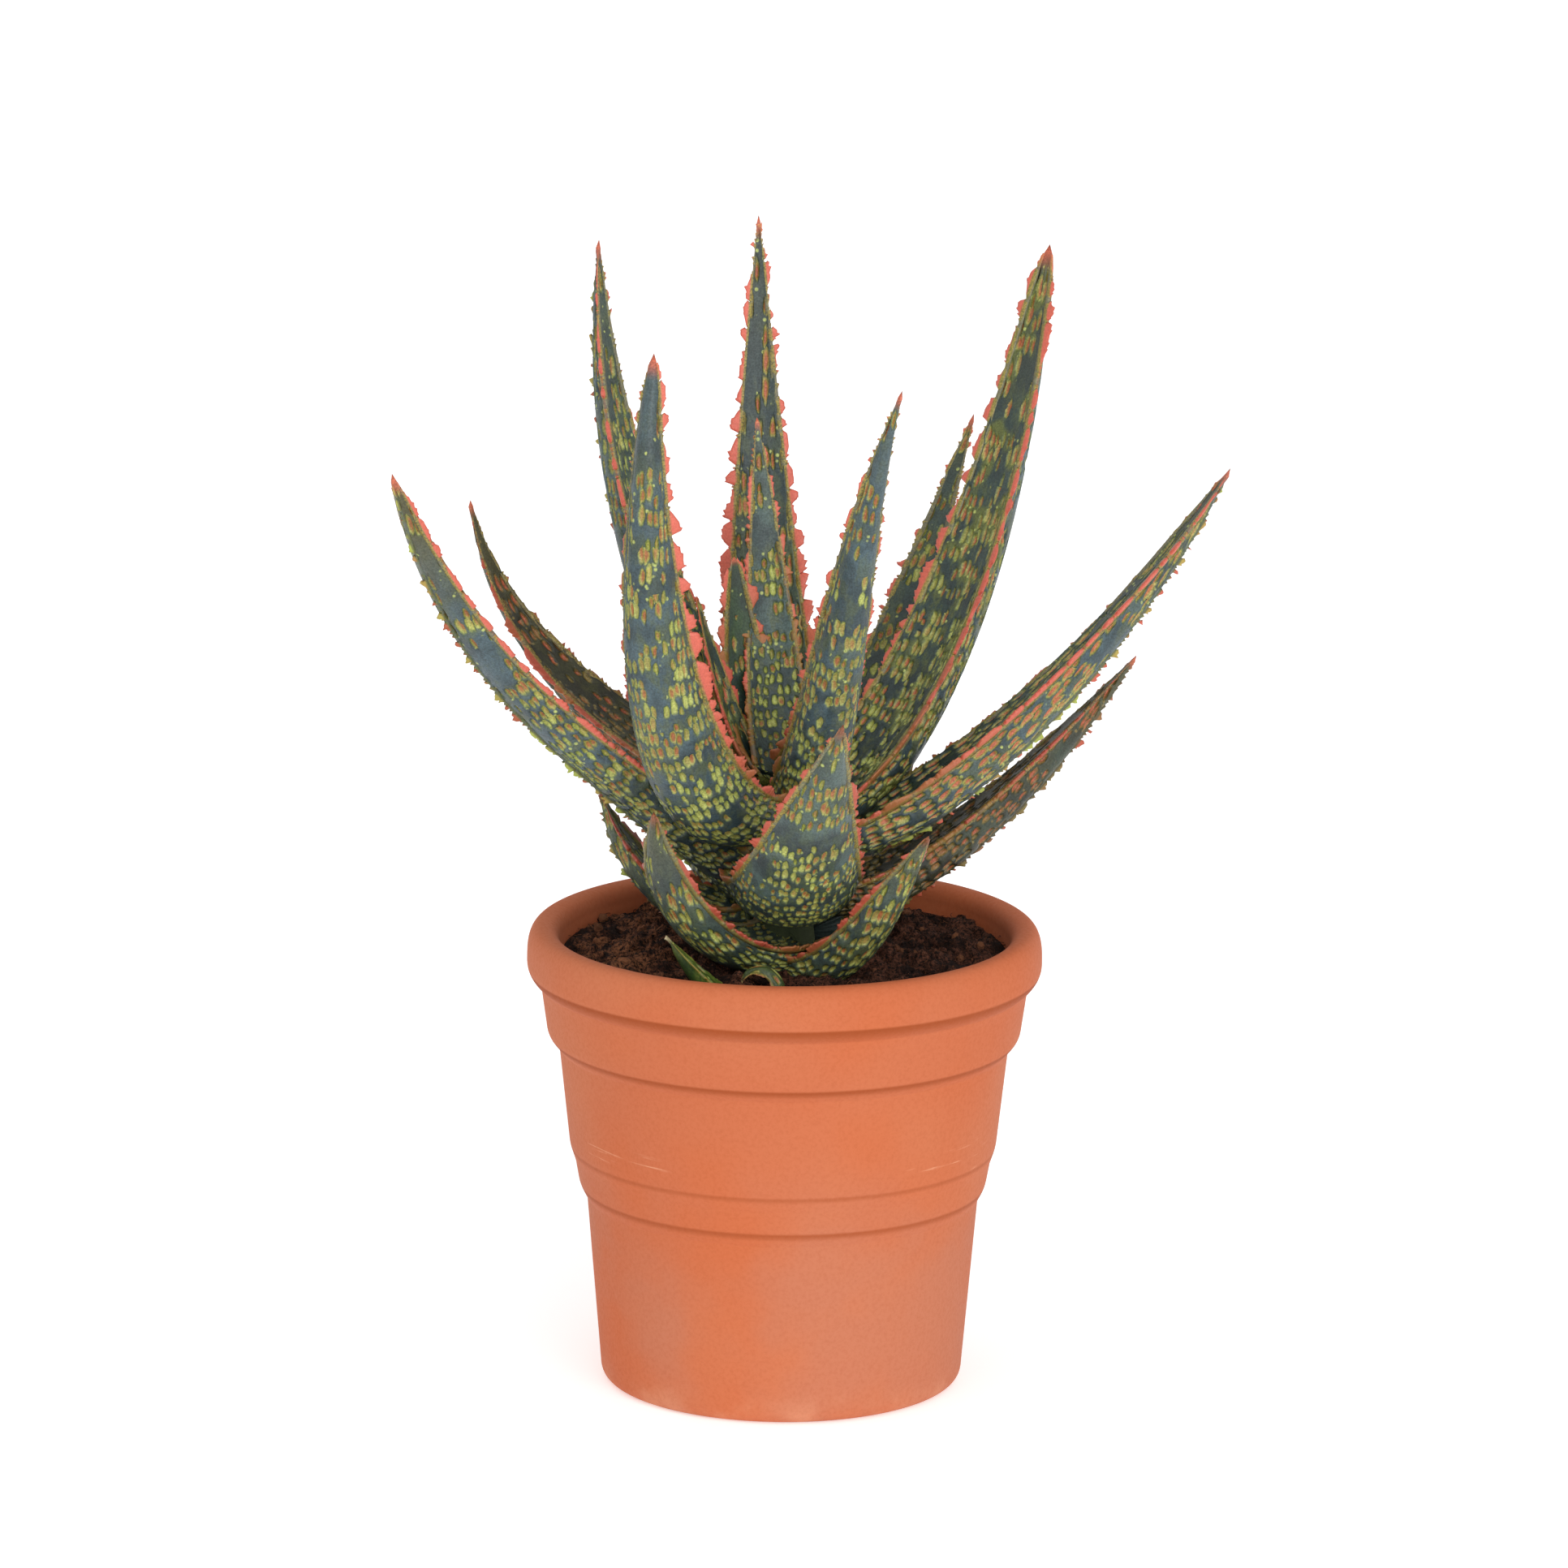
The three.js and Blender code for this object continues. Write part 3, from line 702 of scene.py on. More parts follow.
        parts.points(points.reshape(-1, 3), share=np.repeat(t, count), edge=1, face=1,
                     rise=np.tile([r for r, _ in ring], rows), crest=1, plate=np.repeat(span, count),
                     tooth=np.repeat(t * self.length / b.tooth, count), reach=np.repeat(crest, count),
                     side=sign, keel=float(not sign), out=np.repeat(spread, count, 0),
                     ahead=np.repeat(forward, count, 0))
        for k in range(count):
            parts.strip(index, rows, count, k, np.zeros((rows - 1, 4, 2)))
        last_row = (rows - 1) * count
        for k in range(count // 2 - 1):
            ends = [k, k + 1, count - 2 - k, count - 1 - k]
            parts.corner(index, ends[::-1], [(0, 0)] * 4)
            parts.corner(index, [last_row + e for e in ends], [(0, 0)] * 4)

    def build(self, material: bpy.types.Material, relief: GeometryGraph) -> bpy.types.Object:
        """Makes the leaf as one dressed object."""
        parts = Parts()
        self.blade(parts)
        for sign in (-1, 1, 0) if self.keel else (-1, 1):
            self.crest(parts, sign)
        piece = parts.object(self.name + "_skin")
        size = min(1.0, self.length / 60 + 0.25)
        relief.apply(piece, material, Wart_Height=self.wart_height * MM * size)
        return piece


def fill(items: object, key: str, values: np.ndarray, kind: type = np.float32) -> None:
    """Sets one property of all of a mesh's points, corners or faces."""
    items.foreach_set(key, values.astype(kind).ravel())


class Parts:
    """Collects points with attributes and faces with skin map places, and makes one mesh of them."""

    FIELDS = ("share", "edge", "face", "rise", "crest", "plate", "tooth", "reach", "side", "keel")
    VECTORS = ("out", "ahead")

    def __init__(self) -> None:
        """Starts empty."""
        self.count = 0
        self.places: list[np.ndarray] = []
        self.numbers: dict[str, list[np.ndarray]] = {key: [] for key in self.FIELDS + self.VECTORS}
        self.faces: list[tuple[np.ndarray, np.ndarray]] = []

    def points(self, places: np.ndarray, **numbers: object) -> None:
        """Adds points in millimetres with a number or vector each for every attribute."""
        size = len(places)
        self.places.append(places)
        for key, value in numbers.items():
            shape = (size, 3) if key in self.VECTORS else (size,)
            self.numbers[key].append(np.broadcast_to(np.asarray(value, float), shape))
        self.count += size

    def strip(self, first: int, rows: int, count: int, k: int, places: np.ndarray) -> None:
        """Adds the faces along one side of a tube.

        Args:
            first: the number of the tube's first point.
            rows: how many rings of points the tube has.
            count: how many points are in a ring.
            k: the side's number.
            places: the skin map places of each face's four corners.
        """
        here = np.arange(rows - 1) * count + first
        n = (k + 1) % count
        self.faces.append((np.stack([here + k, here + n, here + count + n, here + count + k], 1), places))

    def corner(self, offset: int, corners: object, places: object) -> None:
        """Adds one face of three or four corners."""
        self.faces.append((np.array([corners]) + offset, np.array([places], float)))

    def object(self, name: str) -> bpy.types.Object:
        """Makes the object, with attributes and a UV map, its faces turned outwards."""
        mesh = bpy.data.meshes.new(name)
        corners = np.concatenate([c.reshape(-1) for c, _ in self.faces])
        sizes = np.concatenate([np.full(len(c), c.shape[1]) for c, _ in self.faces])
        places = np.concatenate([p.reshape(-1, 2) for _, p in self.faces])
        mesh.vertices.add(self.count)
        fill(mesh.vertices, "co", np.concatenate(self.places) * MM)
        mesh.loops.add(len(corners))
        fill(mesh.loops, "vertex_index", corners, np.int32)
        mesh.polygons.add(len(sizes))
        fill(mesh.polygons, "loop_start", np.append(0, np.cumsum(sizes)[:-1]), np.int32)
        mesh.update(calc_edges=True)
        fill(mesh.uv_layers.new(name="skin").data, "uv", places)
        for key, values in self.numbers.items():
            kind, item = ("FLOAT_VECTOR", "vector") if key in self.VECTORS else ("FLOAT", "value")
            fill(mesh.attributes.new(key, kind, "POINT").data, item, np.concatenate(values))
        fill(mesh.polygons, "use_smooth", np.ones(len(sizes)), bool)
        return placed(name, mesh)


def placed(name: str, data: bpy.types.ID) -> bpy.types.Object:
    """A new object with a mesh, a camera or a light, at the origin."""
    piece = bpy.data.objects.new(name, data)
    bpy.context.scene.collection.objects.link(piece)
    return piece


def leaf_relief(warts: Warts) -> GeometryGraph:
    """The tree that raises warts on the blade and cuts the crest into toothed plates.

    Args:
        warts: the pattern of the warts.

    Returns:
        The tree, with sizes in metres.
    """
    g = GeometryGraph("leaf relief", {"Wart Height": 0.0004, "Tooth": 0.0007, "Lean": 0.0008, "Seed": 11.0})
    crest = g.math("GREATER_THAN", g.named("crest"), 0.5)
    blade = g.math("SUBTRACT", 1.0, crest)
    normal = g.node("GeometryNodeInputNormal").outputs[0]
    share = g.named("share")
    height = warts.spots(g, g.named("skin", "FLOAT_VECTOR"), share, g.named("edge"))[0]
    raised = g.scaled(normal, g.times(height, g.given["Wart Height"]))
    geometry = g.shifted(g.given["Geometry"], blade, raised)
    side, rise = g.named("side"), g.named("rise")

    def dice(step: object, salt: float) -> list:
        """Three random numbers for each step along a margin."""
        key = g.combine(step, g.plus(side, salt), g.given["Seed"])
        return g.parts(g.node("ShaderNodeTexWhiteNoise", {"Vector": key}).outputs["Color"])

    sway = g.noise(g.combine(g.times(g.named("plate"), 0.6), side, g.given["Seed"]), 1.0, 1.0)
    plate = g.times_plus(sway, 3.2, g.named("plate"))
    chance = dice(g.math("FLOOR", plate), 0.0)
    gaps = g.plus(g.ramp(share, 0.3, 0.9, 0.0, 0.3), g.ramp(g.named("reach"), 2.2, 1.3, 0.0, 0.75))
    bare = g.times(gaps, chance[2])
    within = g.ramp(g.math("FRACT", plate), bare, 1.0, kind=LINE)
    # A plate rises to a place of its own, stays high for a stretch and falls towards its end.
    swell = g.ramp(g.math("POWER", chance[1], 0.6), 0.0, 1.0, 0.06, 0.65, LINE)
    fall = g.plus(swell, 0.27)
    arch = g.times(g.ramp(within, 0.0, swell, kind=LINE), g.ramp(within, 1.0, fall))
    tall = g.times(arch, g.ramp(chance[0], 0.0, 1.0, 0.65, 1.1, LINE))
    tame = g.ramp(share, 0.985, 0.94, 0.25, 1.0)
    beat = g.times_plus(sway, 5.0, g.named("tooth"))
    bite = g.ramp(dice(g.math("FLOOR", beat), 5.0)[0], 0.25, 1.0, 0.0, 1.3, LINE)
    saw = g.times(g.math("POWER", g.math("FRACT", beat), 1.5), bite, tame)
    full = g.times(g.math("MAXIMUM", tall, g.ramp(share, 0.2, 0.8, 0.26, 0.16)), tame)
    plain = g.times(g.named("reach"), MM, full)
    reach = g.times_plus(saw, g.given["Tooth"], plain)
    outward = g.scaled(g.named("out", "FLOAT_VECTOR"), g.times(reach, rise))
    lean = g.times(g.given["Lean"], g.math("POWER", rise, 2.0), g.math("POWER", within, 2.0))
    forward = g.scaled(g.named("ahead", "FLOAT_VECTOR"), lean)
    geometry = g.shifted(geometry, crest, g.vector("ADD", outward, forward))
    teeth = g.times(saw, g.math("DIVIDE", g.given["Tooth"], MM))
    high = g.times(g.times_plus(g.named("reach"), tall, teeth), rise)
    g.finish(g.stored(g.stored(geometry, "tone", chance[2]), "high", high))
    return g


LEAVES = (
    Leaf("leaf_bud", 60, (0.5, 148.5), 18, (60, 75, 80), (9, 4), 2, plates=(4, 5), coat=Coat.HEART),
    Leaf("leaf_heart", -146, (3.3, 143.4), 55, (25, 73, 83), (13, 5.1), 2.8, -2, blunt=0.4, plates=(6, 7),
         coat=Coat.HEART),
    Leaf("leaf_inner", -169, (3, 144.8), 85, (45, 72, 75), (15.3, 7.5), 1.4, 6, coat=Coat.PALE,
         crests=(0.6, 0.6)),
    Leaf("leaf_inner_left", -118, (3, 139), 51, (43, 68, 73), (9, 5), 1.7, plates=(6, 7), coat=Coat.PATCHED),
    Leaf("leaf_back_tall", -172, (4, 139.4), 145, (17, 72, 82), (27.4, 9.1), 1.0, -3,
         coat=Coat.TALL, wart_length=(3.0, 9.0), plates=(6.0, 6.8), crests=(1.05, 1.1)),
    Leaf("leaf_front_right", 20, (5, 136.9), 124, (33, 81.5, 66), (14.4, 9.1), 1.9, 23, 7, roll=-20,
         crests=(0.6, 0.45)),
    Leaf("leaf_front_left", -33, (6.1, 139.6), 142, (-10, 61, 98), (25.4, 10.3), 1.35, blunt=0.4, roll=22,
         crests=(0.5, 1.1)),
    Leaf("leaf_left_upright", -116, (5, 135.1), 141, (58, 52, 88), (18.1, 8.8), 2.2, -5, crests=(0.6, 0.7),
         keel=0.5, wart_height=0.75),
    Leaf("leaf_right_tall", 131, (2.7, 131.9), 157, (20, 55, 73), (21.8, 9.4), 2.8, 12, blunt=0.8, roll=-9,
         coat=Coat.PATCHED, wart_length=(2.4, 6.5), keel=0.6, plates=(7.0, 8.5), crests=(1.0, 0.9), wart_height=0.8),
    Leaf("leaf_left_back", -118, (7, 130.8), 107, (40, -8, 79), (16.4, 6.9), 1.5, 25, roll=-30,
         coat=Coat.DUSKY, crests=(0.35, 0.9), wart_height=0.6),
    Leaf("leaf_right_long", 101, (9.1, 128.3), 133, (22, 41, 43), (18.6, 8.6), 3, 31, blunt=0.2, roll=-20,
         coat=Coat.RUSTY, wart_length=(3.0, 7.0), keel=0.5, crests=(1.0, 0.6), wart_height=0.8),
    Leaf("leaf_left_long", -69, (9.3, 119.2), 147, (53, 18, 64), (25, 7.8), 2.6, 33, blunt=0.3, roll=-8,
         coat=Coat.TANNED, keel=0.5, crests=(0.6, 0.8), wart_height=0.75),
    Leaf("leaf_back_right", 156, (7, 125.4), 133, (21, 41, 48), (16.4, 7.5), 1.8, -1, crests=(0.8, 0.6)),
    Leaf("leaf_right_low", 112, (8.9, 115.6), 96, (7, 34, 42), (15.8, 8.7), 2.0, 1, roll=-14,
         coat=Coat.DUSKY, keel=0.5, crests=(0.55, 0.6), wart_height=0.7),
    Leaf("leaf_front", 4, (11, 119), 93, (-2, 42, 54), (34, 7), 1.6, 17, coat=Coat.ROWED,
         crests=(0.75, 0.7)),
    Leaf("leaf_low_left_back", -99, (8, 112), 48, (-9, 17, 68), (18.6, 6.9), 1.6, 1, coat=Coat.LOW, keel=0.4),
    Leaf("leaf_low_left", -60, (13, 107), 66, (-12, 4, 84), (29, 5.2), 2, 28, 22, coat=Coat.LOW,
         crests=(0.6, 0.8)),
    Leaf("leaf_low_right", 55, (16, 103.6), 58, (-2, 60, 49), (21, 6.2), 1.9, -17, 5, coat=Coat.LOW,
         crests=(0.8, 0.7)),
    Leaf("leaf_low_back_left", -150, (9, 115.5), 88, (0, 26, 56), (21, 8), 1.7),
    Leaf("leaf_low_back", 178, (9, 109.5), 78, (-8, 24, 60), (22, 8), 1.7),
    Leaf("leaf_low_back_right", 146, (9, 107.5), 60, (-10, 28, 64), (21, 7.5), 1.7, coat=Coat.LOW),
    Leaf("shoot_left", -93, (38.6, 97.5), 26.5, (41, 39, 47), (7, 4.4), 1.6, 0, -12.1, coat=Coat.YOUNG,
         crests=(0.3, 0.3)),
    Leaf("shoot_curled", 90, (36.3, 99.5), 15, (90, 20, 262), (5, 2.4), 2.2, 0, -3, coat=Coat.DOTTED,
         crests=(0.3, 0.3)),
    Leaf("shoot_right", 84, (40.4, 98), 16, (46, 20, 6), (7, 3.4), 1.8, 0, 8.5, coat=Coat.DOTTED,
         crests=(0.4, 0.4)),
)


@dataclass
class Rosette:
    """All the leaves and young shoots."""

    leaves: tuple[Leaf, ...] = LEAVES

    def build(self) -> list[bpy.types.Object]:
        """Makes every leaf in place of its solid and returns them."""
        made, dressing = [], {}
        for leaf in self.leaves:
            finish = leaf.coat.value
            if leaf.coat not in dressing:
                dressing[leaf.coat] = finish.material(), leaf_relief(finish.warts)
            piece = leaf.build(*dressing[leaf.coat])
            join_to_solid(piece, leaf.name)
            made.append(piece)
            log.info("%s: %d faces", piece.name, len(piece.data.polygons))
        return made


def join_to_solid(piece: bpy.types.Object, node: str) -> None:
    """Puts a piece in place of its solid.

    Args:
        piece: the finished piece.
        node: the solid that it stands for.
    """
    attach(piece, "root")
    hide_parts(node)


# ---- Pot, soil and stem ------------------------------------------------------------------------


@dataclass(frozen=True)
class Terracotta:
    """Fired clay: a soft bloom, painted shade in the creases under the bands, chalk marks and fine pits."""

    clay: tuple = tint(194, 110, 72)
    deep: tuple = tint(193, 101, 60)
    bloom: tuple = tint(185, 113, 84)
    crease_shade: tuple = tint(156, 72, 28)
    chalk: tuple = tint(226, 164, 128)
    grit: tuple = tint(150, 70, 40)
    pit: tuple = tint(120, 54, 32)
    # Each painted crease shade as its lip's height, its depth below the lip in millimetres, and its strength.
    crease_shades: tuple = ((99.4, 4.4, 1.0), (83.8, 2.8, 0.9), (57.0, 2.0, 0.5), (47.8, 2.6, 0.75))
    lip_edge: float = 0.7

    def material(self) -> bpy.types.Material:
        """Builds the material."""
        g = ShaderGraph("terracotta")
        place = g.place()
        across, _, up = g.parts(place)
        broad = g.noise(place, 16.0, 2.0, 0.5)
        grain = g.noise(place, 1100.0, 3.0, 0.7)
        low = g.ramp(up, 0.07, 0.03)
        bloom = g.times(g.ramp(g.noise(place, 24.0, 3.0, 0.5), 0.38, 0.62), g.times_plus(low, 0.55, 0.2))
        layers = [(g.ramp(broad, 0.35, 0.65), self.clay), (bloom, self.bloom)]
        # Painted shade: a dark line just under each band's lip, where the step's underside lies in shade.
        for lip, depth, strength in self.crease_shades:
            within = lip - self.lip_edge
            dark = g.times(g.ramp(up, (lip - depth) * MM, within * MM), g.ramp(up, lip * MM, within * MM))
            layers.append((g.times(dark, strength), self.crease_shade))
        streak = g.noise(g.vector("MULTIPLY", place, (60.0, 60.0, 900.0)), 1.0, 2.0)
        zone = g.times(g.ramp(up, 0.054, 0.058), g.ramp(up, 0.066, 0.06),
                       g.ramp(g.math("ABSOLUTE", across), 0.02, 0.032))
        foot = g.times(g.ramp(up, 0.009, 0.001), g.ramp(g.noise(place, 90.0, 3.0), 0.42, 0.72, 0.0, 0.3))
        pits = g.node("ShaderNodeTexVoronoi", {"Vector": place, "Scale": 60.0}).outputs
        pit = g.times(g.ramp(pits["Distance"], 0.07, 0.03), g.math("LESS_THAN", g.parts(pits["Color"])[0], 0.12))
        colour = g.layers(
            self.deep,
            *layers,
            (g.times(g.ramp(streak, 0.64, 0.76, 0.0, 0.7), zone), self.chalk),
            (foot, self.chalk),
            (g.ramp(grain, 0.4, 0.75, 0.0, 0.16), self.grit),
            (g.times(pit, 0.6), self.pit),
        )
        g.surface(colour, g.ramp(grain, 0.3, 0.7, 0.7, 0.84), Specular_IOR_Level=0.3)
        g.bump(grain, 0.00016, 0.22)
        return g.material


@dataclass(frozen=True)
class Earth:
    """Dark potting soil, with pale grains at the left that are painted light on its lit side."""

    dark: tuple = tint(20, 11, 9)
    light: tuple = tint(112, 70, 52)
    # Pale grains: painted light on the left of the soil, and the own tone of some crumbs.
    pale: tuple = tint(150, 98, 66)

    def material(self) -> bpy.types.Material:
        """Builds the material."""
        g = ShaderGraph("soil")
        place = g.place()
        grain = g.noise(place, 1400.0, 4.0, 0.75)
        lumps = g.noise(place, 170.0, 4.0, 0.6)
        # Painted light: the grains at the left are paler, where light falls on the soil.
        dry = g.times(g.ramp(g.parts(place)[0], 0.0, -0.04), g.ramp(lumps, 0.56, 0.44))
        colour = g.layers(
            self.dark,
            (g.ramp(grain, 0.38, 0.62), self.light),
            (g.ramp(lumps, 0.48, 0.62, 0.0, 0.85), self.dark),
            (g.times(dry, g.ramp(grain, 0.4, 0.6)), self.pale),
            (g.ramp(g.named("tone"), 0.7, 1.0, 0.0, 0.7), self.pale),
        )
        g.surface(colour, 0.95, Specular_IOR_Level=0.2)
        g.bump(grain, 0.0012, 1.0)
        return g.material


@dataclass(frozen=True)
class PotForm:
    """The pot's outline in millimetres, as in the solids."""

    height: float = 108.9
    base: float = 42.4
    corner: float = 4.0
    floor: float = 6.0
    floor_corner: float = 2.0
    wall: float = 5.4
    mouth: float = 52.6
    mouth_height: float = 104.6
    rim: float = 60.1
    rim_height: float = 102.2
    rim_foot: float = 100.6
    rim_round: float = 2.9
    lip: float = 3.4
    drain: float = 4.0
    drain_reach: float = 22.0
    sides: int = 192
    steps: tuple = (
        (45.8, 44.0), (47.6, 47.4), (48.6, 53.0), (49.9, 56.8),
        (52.5, 80.4), (55.2, 83.6), (56.6, 93.4), (57.2, 95.6),
    )

    def inner_radius(self, z: float) -> float:
        """The inner wall's radius at a height."""
        share = (z - self.floor) / (self.mouth_height - self.floor)
        return (self.base - self.wall) * (1 - share) + self.mouth * share

    def outline(self) -> Path:
        """The closed outline from the axis out, up, over the rim, and down the inside to the axis."""

        def bend(a: tuple, b: tuple, c: tuple, count: int = 8) -> Path:
            """Points of a quadratic curve after its start."""
            spread = [k / count for k in range(1, count + 1)]
            return [tuple((1 - s) ** 2 * a[i] + 2 * s * (1 - s) * b[i] + s * s * c[i] for i in (0, 1)) for s in spread]

        base, rim = self.base, self.rim
        path = [(base - self.corner, 0.0)] + bend((base - self.corner, 0), (base, 0), (base, self.corner))
        path += self.steps
        foot = (rim, self.rim_foot)
        path += bend(path[-1], (rim, self.rim_foot - self.rim_round), foot)
        path.append((rim, self.rim_height))
        path += bend(path[-1], (rim, self.height), (rim - self.lip, self.height))
        path += bend(path[-1], (self.mouth, self.height), (self.mouth, self.mouth_height))
        low = self.floor + self.floor_corner
        path += [(self.inner_radius(low), low), (self.inner_radius(self.floor) - self.floor_corner, self.floor)]
        return softened(path, 1.3, 0.35)


def softened(path: Path, outward: float, inward: float) -> Path:
    """A path with its corners rounded.

    Args:
        path: the corners, with the body on the path's left.
        outward: how far from a corner that stands out its rounding begins, at most.
        inward: the same for a corner that lies in.

    Returns:
        The path with a few points in place of each corner.
    """
    spots = [np.array(p, float) for p in path]
    soft = [spots[0]]
    for before, here, after in zip(spots, spots[1:], spots[2:]):
        back, ahead = before - here, after - here
        most = outward if back[0] * ahead[1] - back[1] * ahead[0] < 0 else inward
        near = min(most, 0.45 * np.linalg.norm(back), 0.45 * np.linalg.norm(ahead))
        start = here + back / np.linalg.norm(back) * near
        end = here + ahead / np.linalg.norm(ahead) * near
        soft += [(1 - s) ** 2 * start + 2 * s * (1 - s) * here + s * s * end for s in (0, 0.25, 0.5, 0.75, 1)]
    return [tuple(p) for p in [*soft, spots[-1]]]


def modelled(name: str, work: bmesh.types.BMesh) -> bpy.types.Object:
    """A new object with a finished working mesh."""
    mesh = bpy.data.meshes.new(name)
    work.to_mesh(mesh)
    work.free()
    return placed(name, mesh)


def lathe(name: str, path: Path, sides: int) -> bpy.types.Object:
    """A closed turned body.

    Args:
        name: the object's name.
        path: radius and height, from the axis at the bottom, up the outside and in to the axis again.
        sides: how many sides it has.

    Returns:
        The object.
    """
    work = bmesh.new()
    turns = [2 * math.pi * k / sides for k in range(sides)]
    rings = [[work.verts.new((r * math.cos(a) * MM, r * math.sin(a) * MM, z * MM)) for a in turns] for r, z in path]
    for low, high in zip(rings, rings[1:]):
        for k in range(sides):
            n = (k + 1) % sides
            work.faces.new((low[k], low[n], high[n], high[k]))
    for ring, z in ((rings[0], path[0][1]), (rings[-1], path[-1][1])):
        centre = work.verts.new((0, 0, z * MM))
        for k in range(sides):
            work.faces.new((ring[k], ring[(k + 1) % sides], centre))
    bmesh.ops.recalc_face_normals(work, faces=work.faces)
    for face in work.faces:
        face.smooth = True
    return modelled(name, work)


@dataclass
class Pot:
    """The terracotta pot."""

    form: PotForm = PotForm()
    finish: Terracotta = Terracotta()

    def build(self) -> bpy.types.Object:
        """Makes the pot with its drain holes."""
        piece = lathe("pot_clay", self.form.outline(), self.form.sides)
        self.drill(piece)
        piece.data.materials.clear()
        piece.data.materials.append(self.finish.material())
        join_to_solid(piece, "pot")
        return piece

    def drill(self, piece: bpy.types.Object) -> None:
        """Cuts the three drain holes."""
        work = bmesh.new()
        for turn in (90, 210, 330):
            angle = math.radians(turn)
            reach = self.form.drain_reach * MM
            spot = Matrix.Translation((reach * math.cos(angle), reach * math.sin(angle), 0))
            bmesh.ops.create_cone(work, cap_ends=True, segments=32, radius1=self.form.drain * MM,
                                  radius2=self.form.drain * MM, depth=3 * self.form.floor * MM, matrix=spot)
        cutter = modelled("drains", work)
        modifier = piece.modifiers.new("drains", "BOOLEAN")
        modifier.operation, modifier.solver, modifier.object = "DIFFERENCE", "EXACT", cutter
        plain = bpy.data.meshes.new_from_object(piece.evaluated_get(bpy.context.evaluated_depsgraph_get()))
        piece.modifiers.remove(modifier)
        piece.data = plain
        bpy.data.objects.remove(cutter)


@dataclass
class Soil:
    """The soil that fills the pot, with crumbs and fibres lying on it."""

    pot: PotForm = PotForm()
    level: float = 102.2
    lumps: float = 1.1
    mound: float = 1.6
    gap: float = 0.3
    heap: tuple[float, float, float] = (-0.034, -0.016, 0.1025)
    rings: int = 110
    sides: int = 220
    finish: Earth = Earth()

    def lift(self, x: np.ndarray, y: np.ndarray) -> np.ndarray:
        """The lift of the surface at places, as in the solids."""
        edge = np.hypot(x, y) / self.pot.mouth
        lumps = np.sin(0.31 * x + 1.3) * np.cos(0.27 * y - 0.6) + 0.6 * np.sin(0.53 * y + 0.44 * x)
        return self.mound * (1 - edge ** 2) + self.lumps * lumps * np.minimum(1, 3 * (1 - edge))

    def tree(self) -> GeometryGraph:
        """The tree that roughens the surface and strews crumbs and fibres on it."""
        g = GeometryGraph("soil surface", {
            "Roughness": 0.0062, "Crumbs": 300000.0, "Fibres": 230000.0, "Crumb Size": 0.00045, "Seed": 5})
        place = g.node("GeometryNodeInputPosition").outputs[0]
        top = g.math("GREATER_THAN", g.named("top"), 0.5)
        lumpy = g.noise(place, 260.0, 4.0, 0.6)
        rough = g.times_plus(lumpy, 0.55, g.math("SUBTRACT", g.noise(place, 95.0, 6.0, 0.6), 0.775))
        heap = g.vector("LENGTH", g.vector("SUBTRACT", place, self.heap), out=1)
        heaped = g.times_plus(g.ramp(heap, 0.011, 0.0), 0.5, g.times(rough, 2.0))
        lifted = g.combine(0.0, 0.0, g.times(heaped, g.given["Roughness"]))
        ground = g.shifted(g.given["Geometry"], top, lifted)
        sphere = g.node("GeometryNodeMeshIcoSphere", {"Radius": 1.0, "Subdivisions": 1}).outputs[0]
        # Most crumbs are fine, and a few are several times as large.
        size = g.times(g.times_plus(g.math("POWER", g.random(0.0, 1.0, 3), 8.0), 4.0, 0.4), g.given["Crumb Size"])
        squash = g.random((0.6, 0.6, 0.45), (1.2, 1.0, 0.8), 5, "FLOAT_VECTOR")
        crumbs = g.strewn(ground, top, g.given["Crumbs"], g.given["Seed"], Instance=sphere,
                          Rotation=g.random((0, 0, 0), (TURN, TURN, TURN), 4, "FLOAT_VECTOR"),
                          Scale=g.scaled(squash, size))
        line = g.node("GeometryNodeCurveArc", {"Resolution": 4, "Radius": 0.002, "Sweep Angle": 1.5}).outputs[0]
        ring = g.node("GeometryNodeCurvePrimitiveCircle", {"Resolution": 3, "Radius": 0.0001}).outputs[0]
        thread = {"Curve": line, "Profile Curve": ring, "Fill Caps": True}
        fibres = g.strewn(ground, top, g.given["Fibres"], 9,
                          Instance=g.node("GeometryNodeCurveToMesh", thread).outputs[0],
                          Rotation=g.random((-0.5, -0.5, 0.0), (0.5, 0.5, TURN), 8, "FLOAT_VECTOR"),
                          Scale=g.random(0.4, 1.1, 10))
        joined = g.node("GeometryNodeJoinGeometry")
        toned = [g.stored(pieces, "tone", g.random(0.0, 1.0, seed), "INSTANCE")
                 for pieces, seed in ((crumbs, 6), (fibres, 7))]
        for part in (ground, *toned):
            g.tree.links.new(part, joined.inputs[0])
        g.finish(joined.outputs[0])
        return g

    def build(self) -> bpy.types.Object:
        """Makes the soil in place of its solid."""
        pot, gap = self.pot, self.gap
        bottom = pot.floor + gap
        rim = pot.inner_radius(self.level) - gap
        path = [(pot.inner_radius(bottom) - pot.floor_corner - gap, bottom),
                (pot.inner_radius(bottom + 3) - gap, bottom + 3)]
        path += [(rim * (1 - k / self.rings), self.level) for k in range(self.rings)]
        piece = lathe("soil_surface", path, self.sides)
        mesh = piece.data
        spots = np.empty(len(mesh.vertices) * 3, np.float32)
        mesh.vertices.foreach_get("co", spots)
        spots = spots.reshape(-1, 3) / MM
        top = np.abs(spots[:, 2] - self.level) < 1e-3
        spots[top, 2] += self.lift(spots[top, 0], spots[top, 1])
        fill(mesh.vertices, "co", spots * MM)
        inside = top & (np.hypot(spots[:, 0], spots[:, 1]) < rim - 0.5)
        fill(mesh.attributes.new("top", "FLOAT", "POINT").data, "value", inside)
        self.tree().apply(piece, self.finish.material())
        join_to_solid(piece, "soil")
        return piece


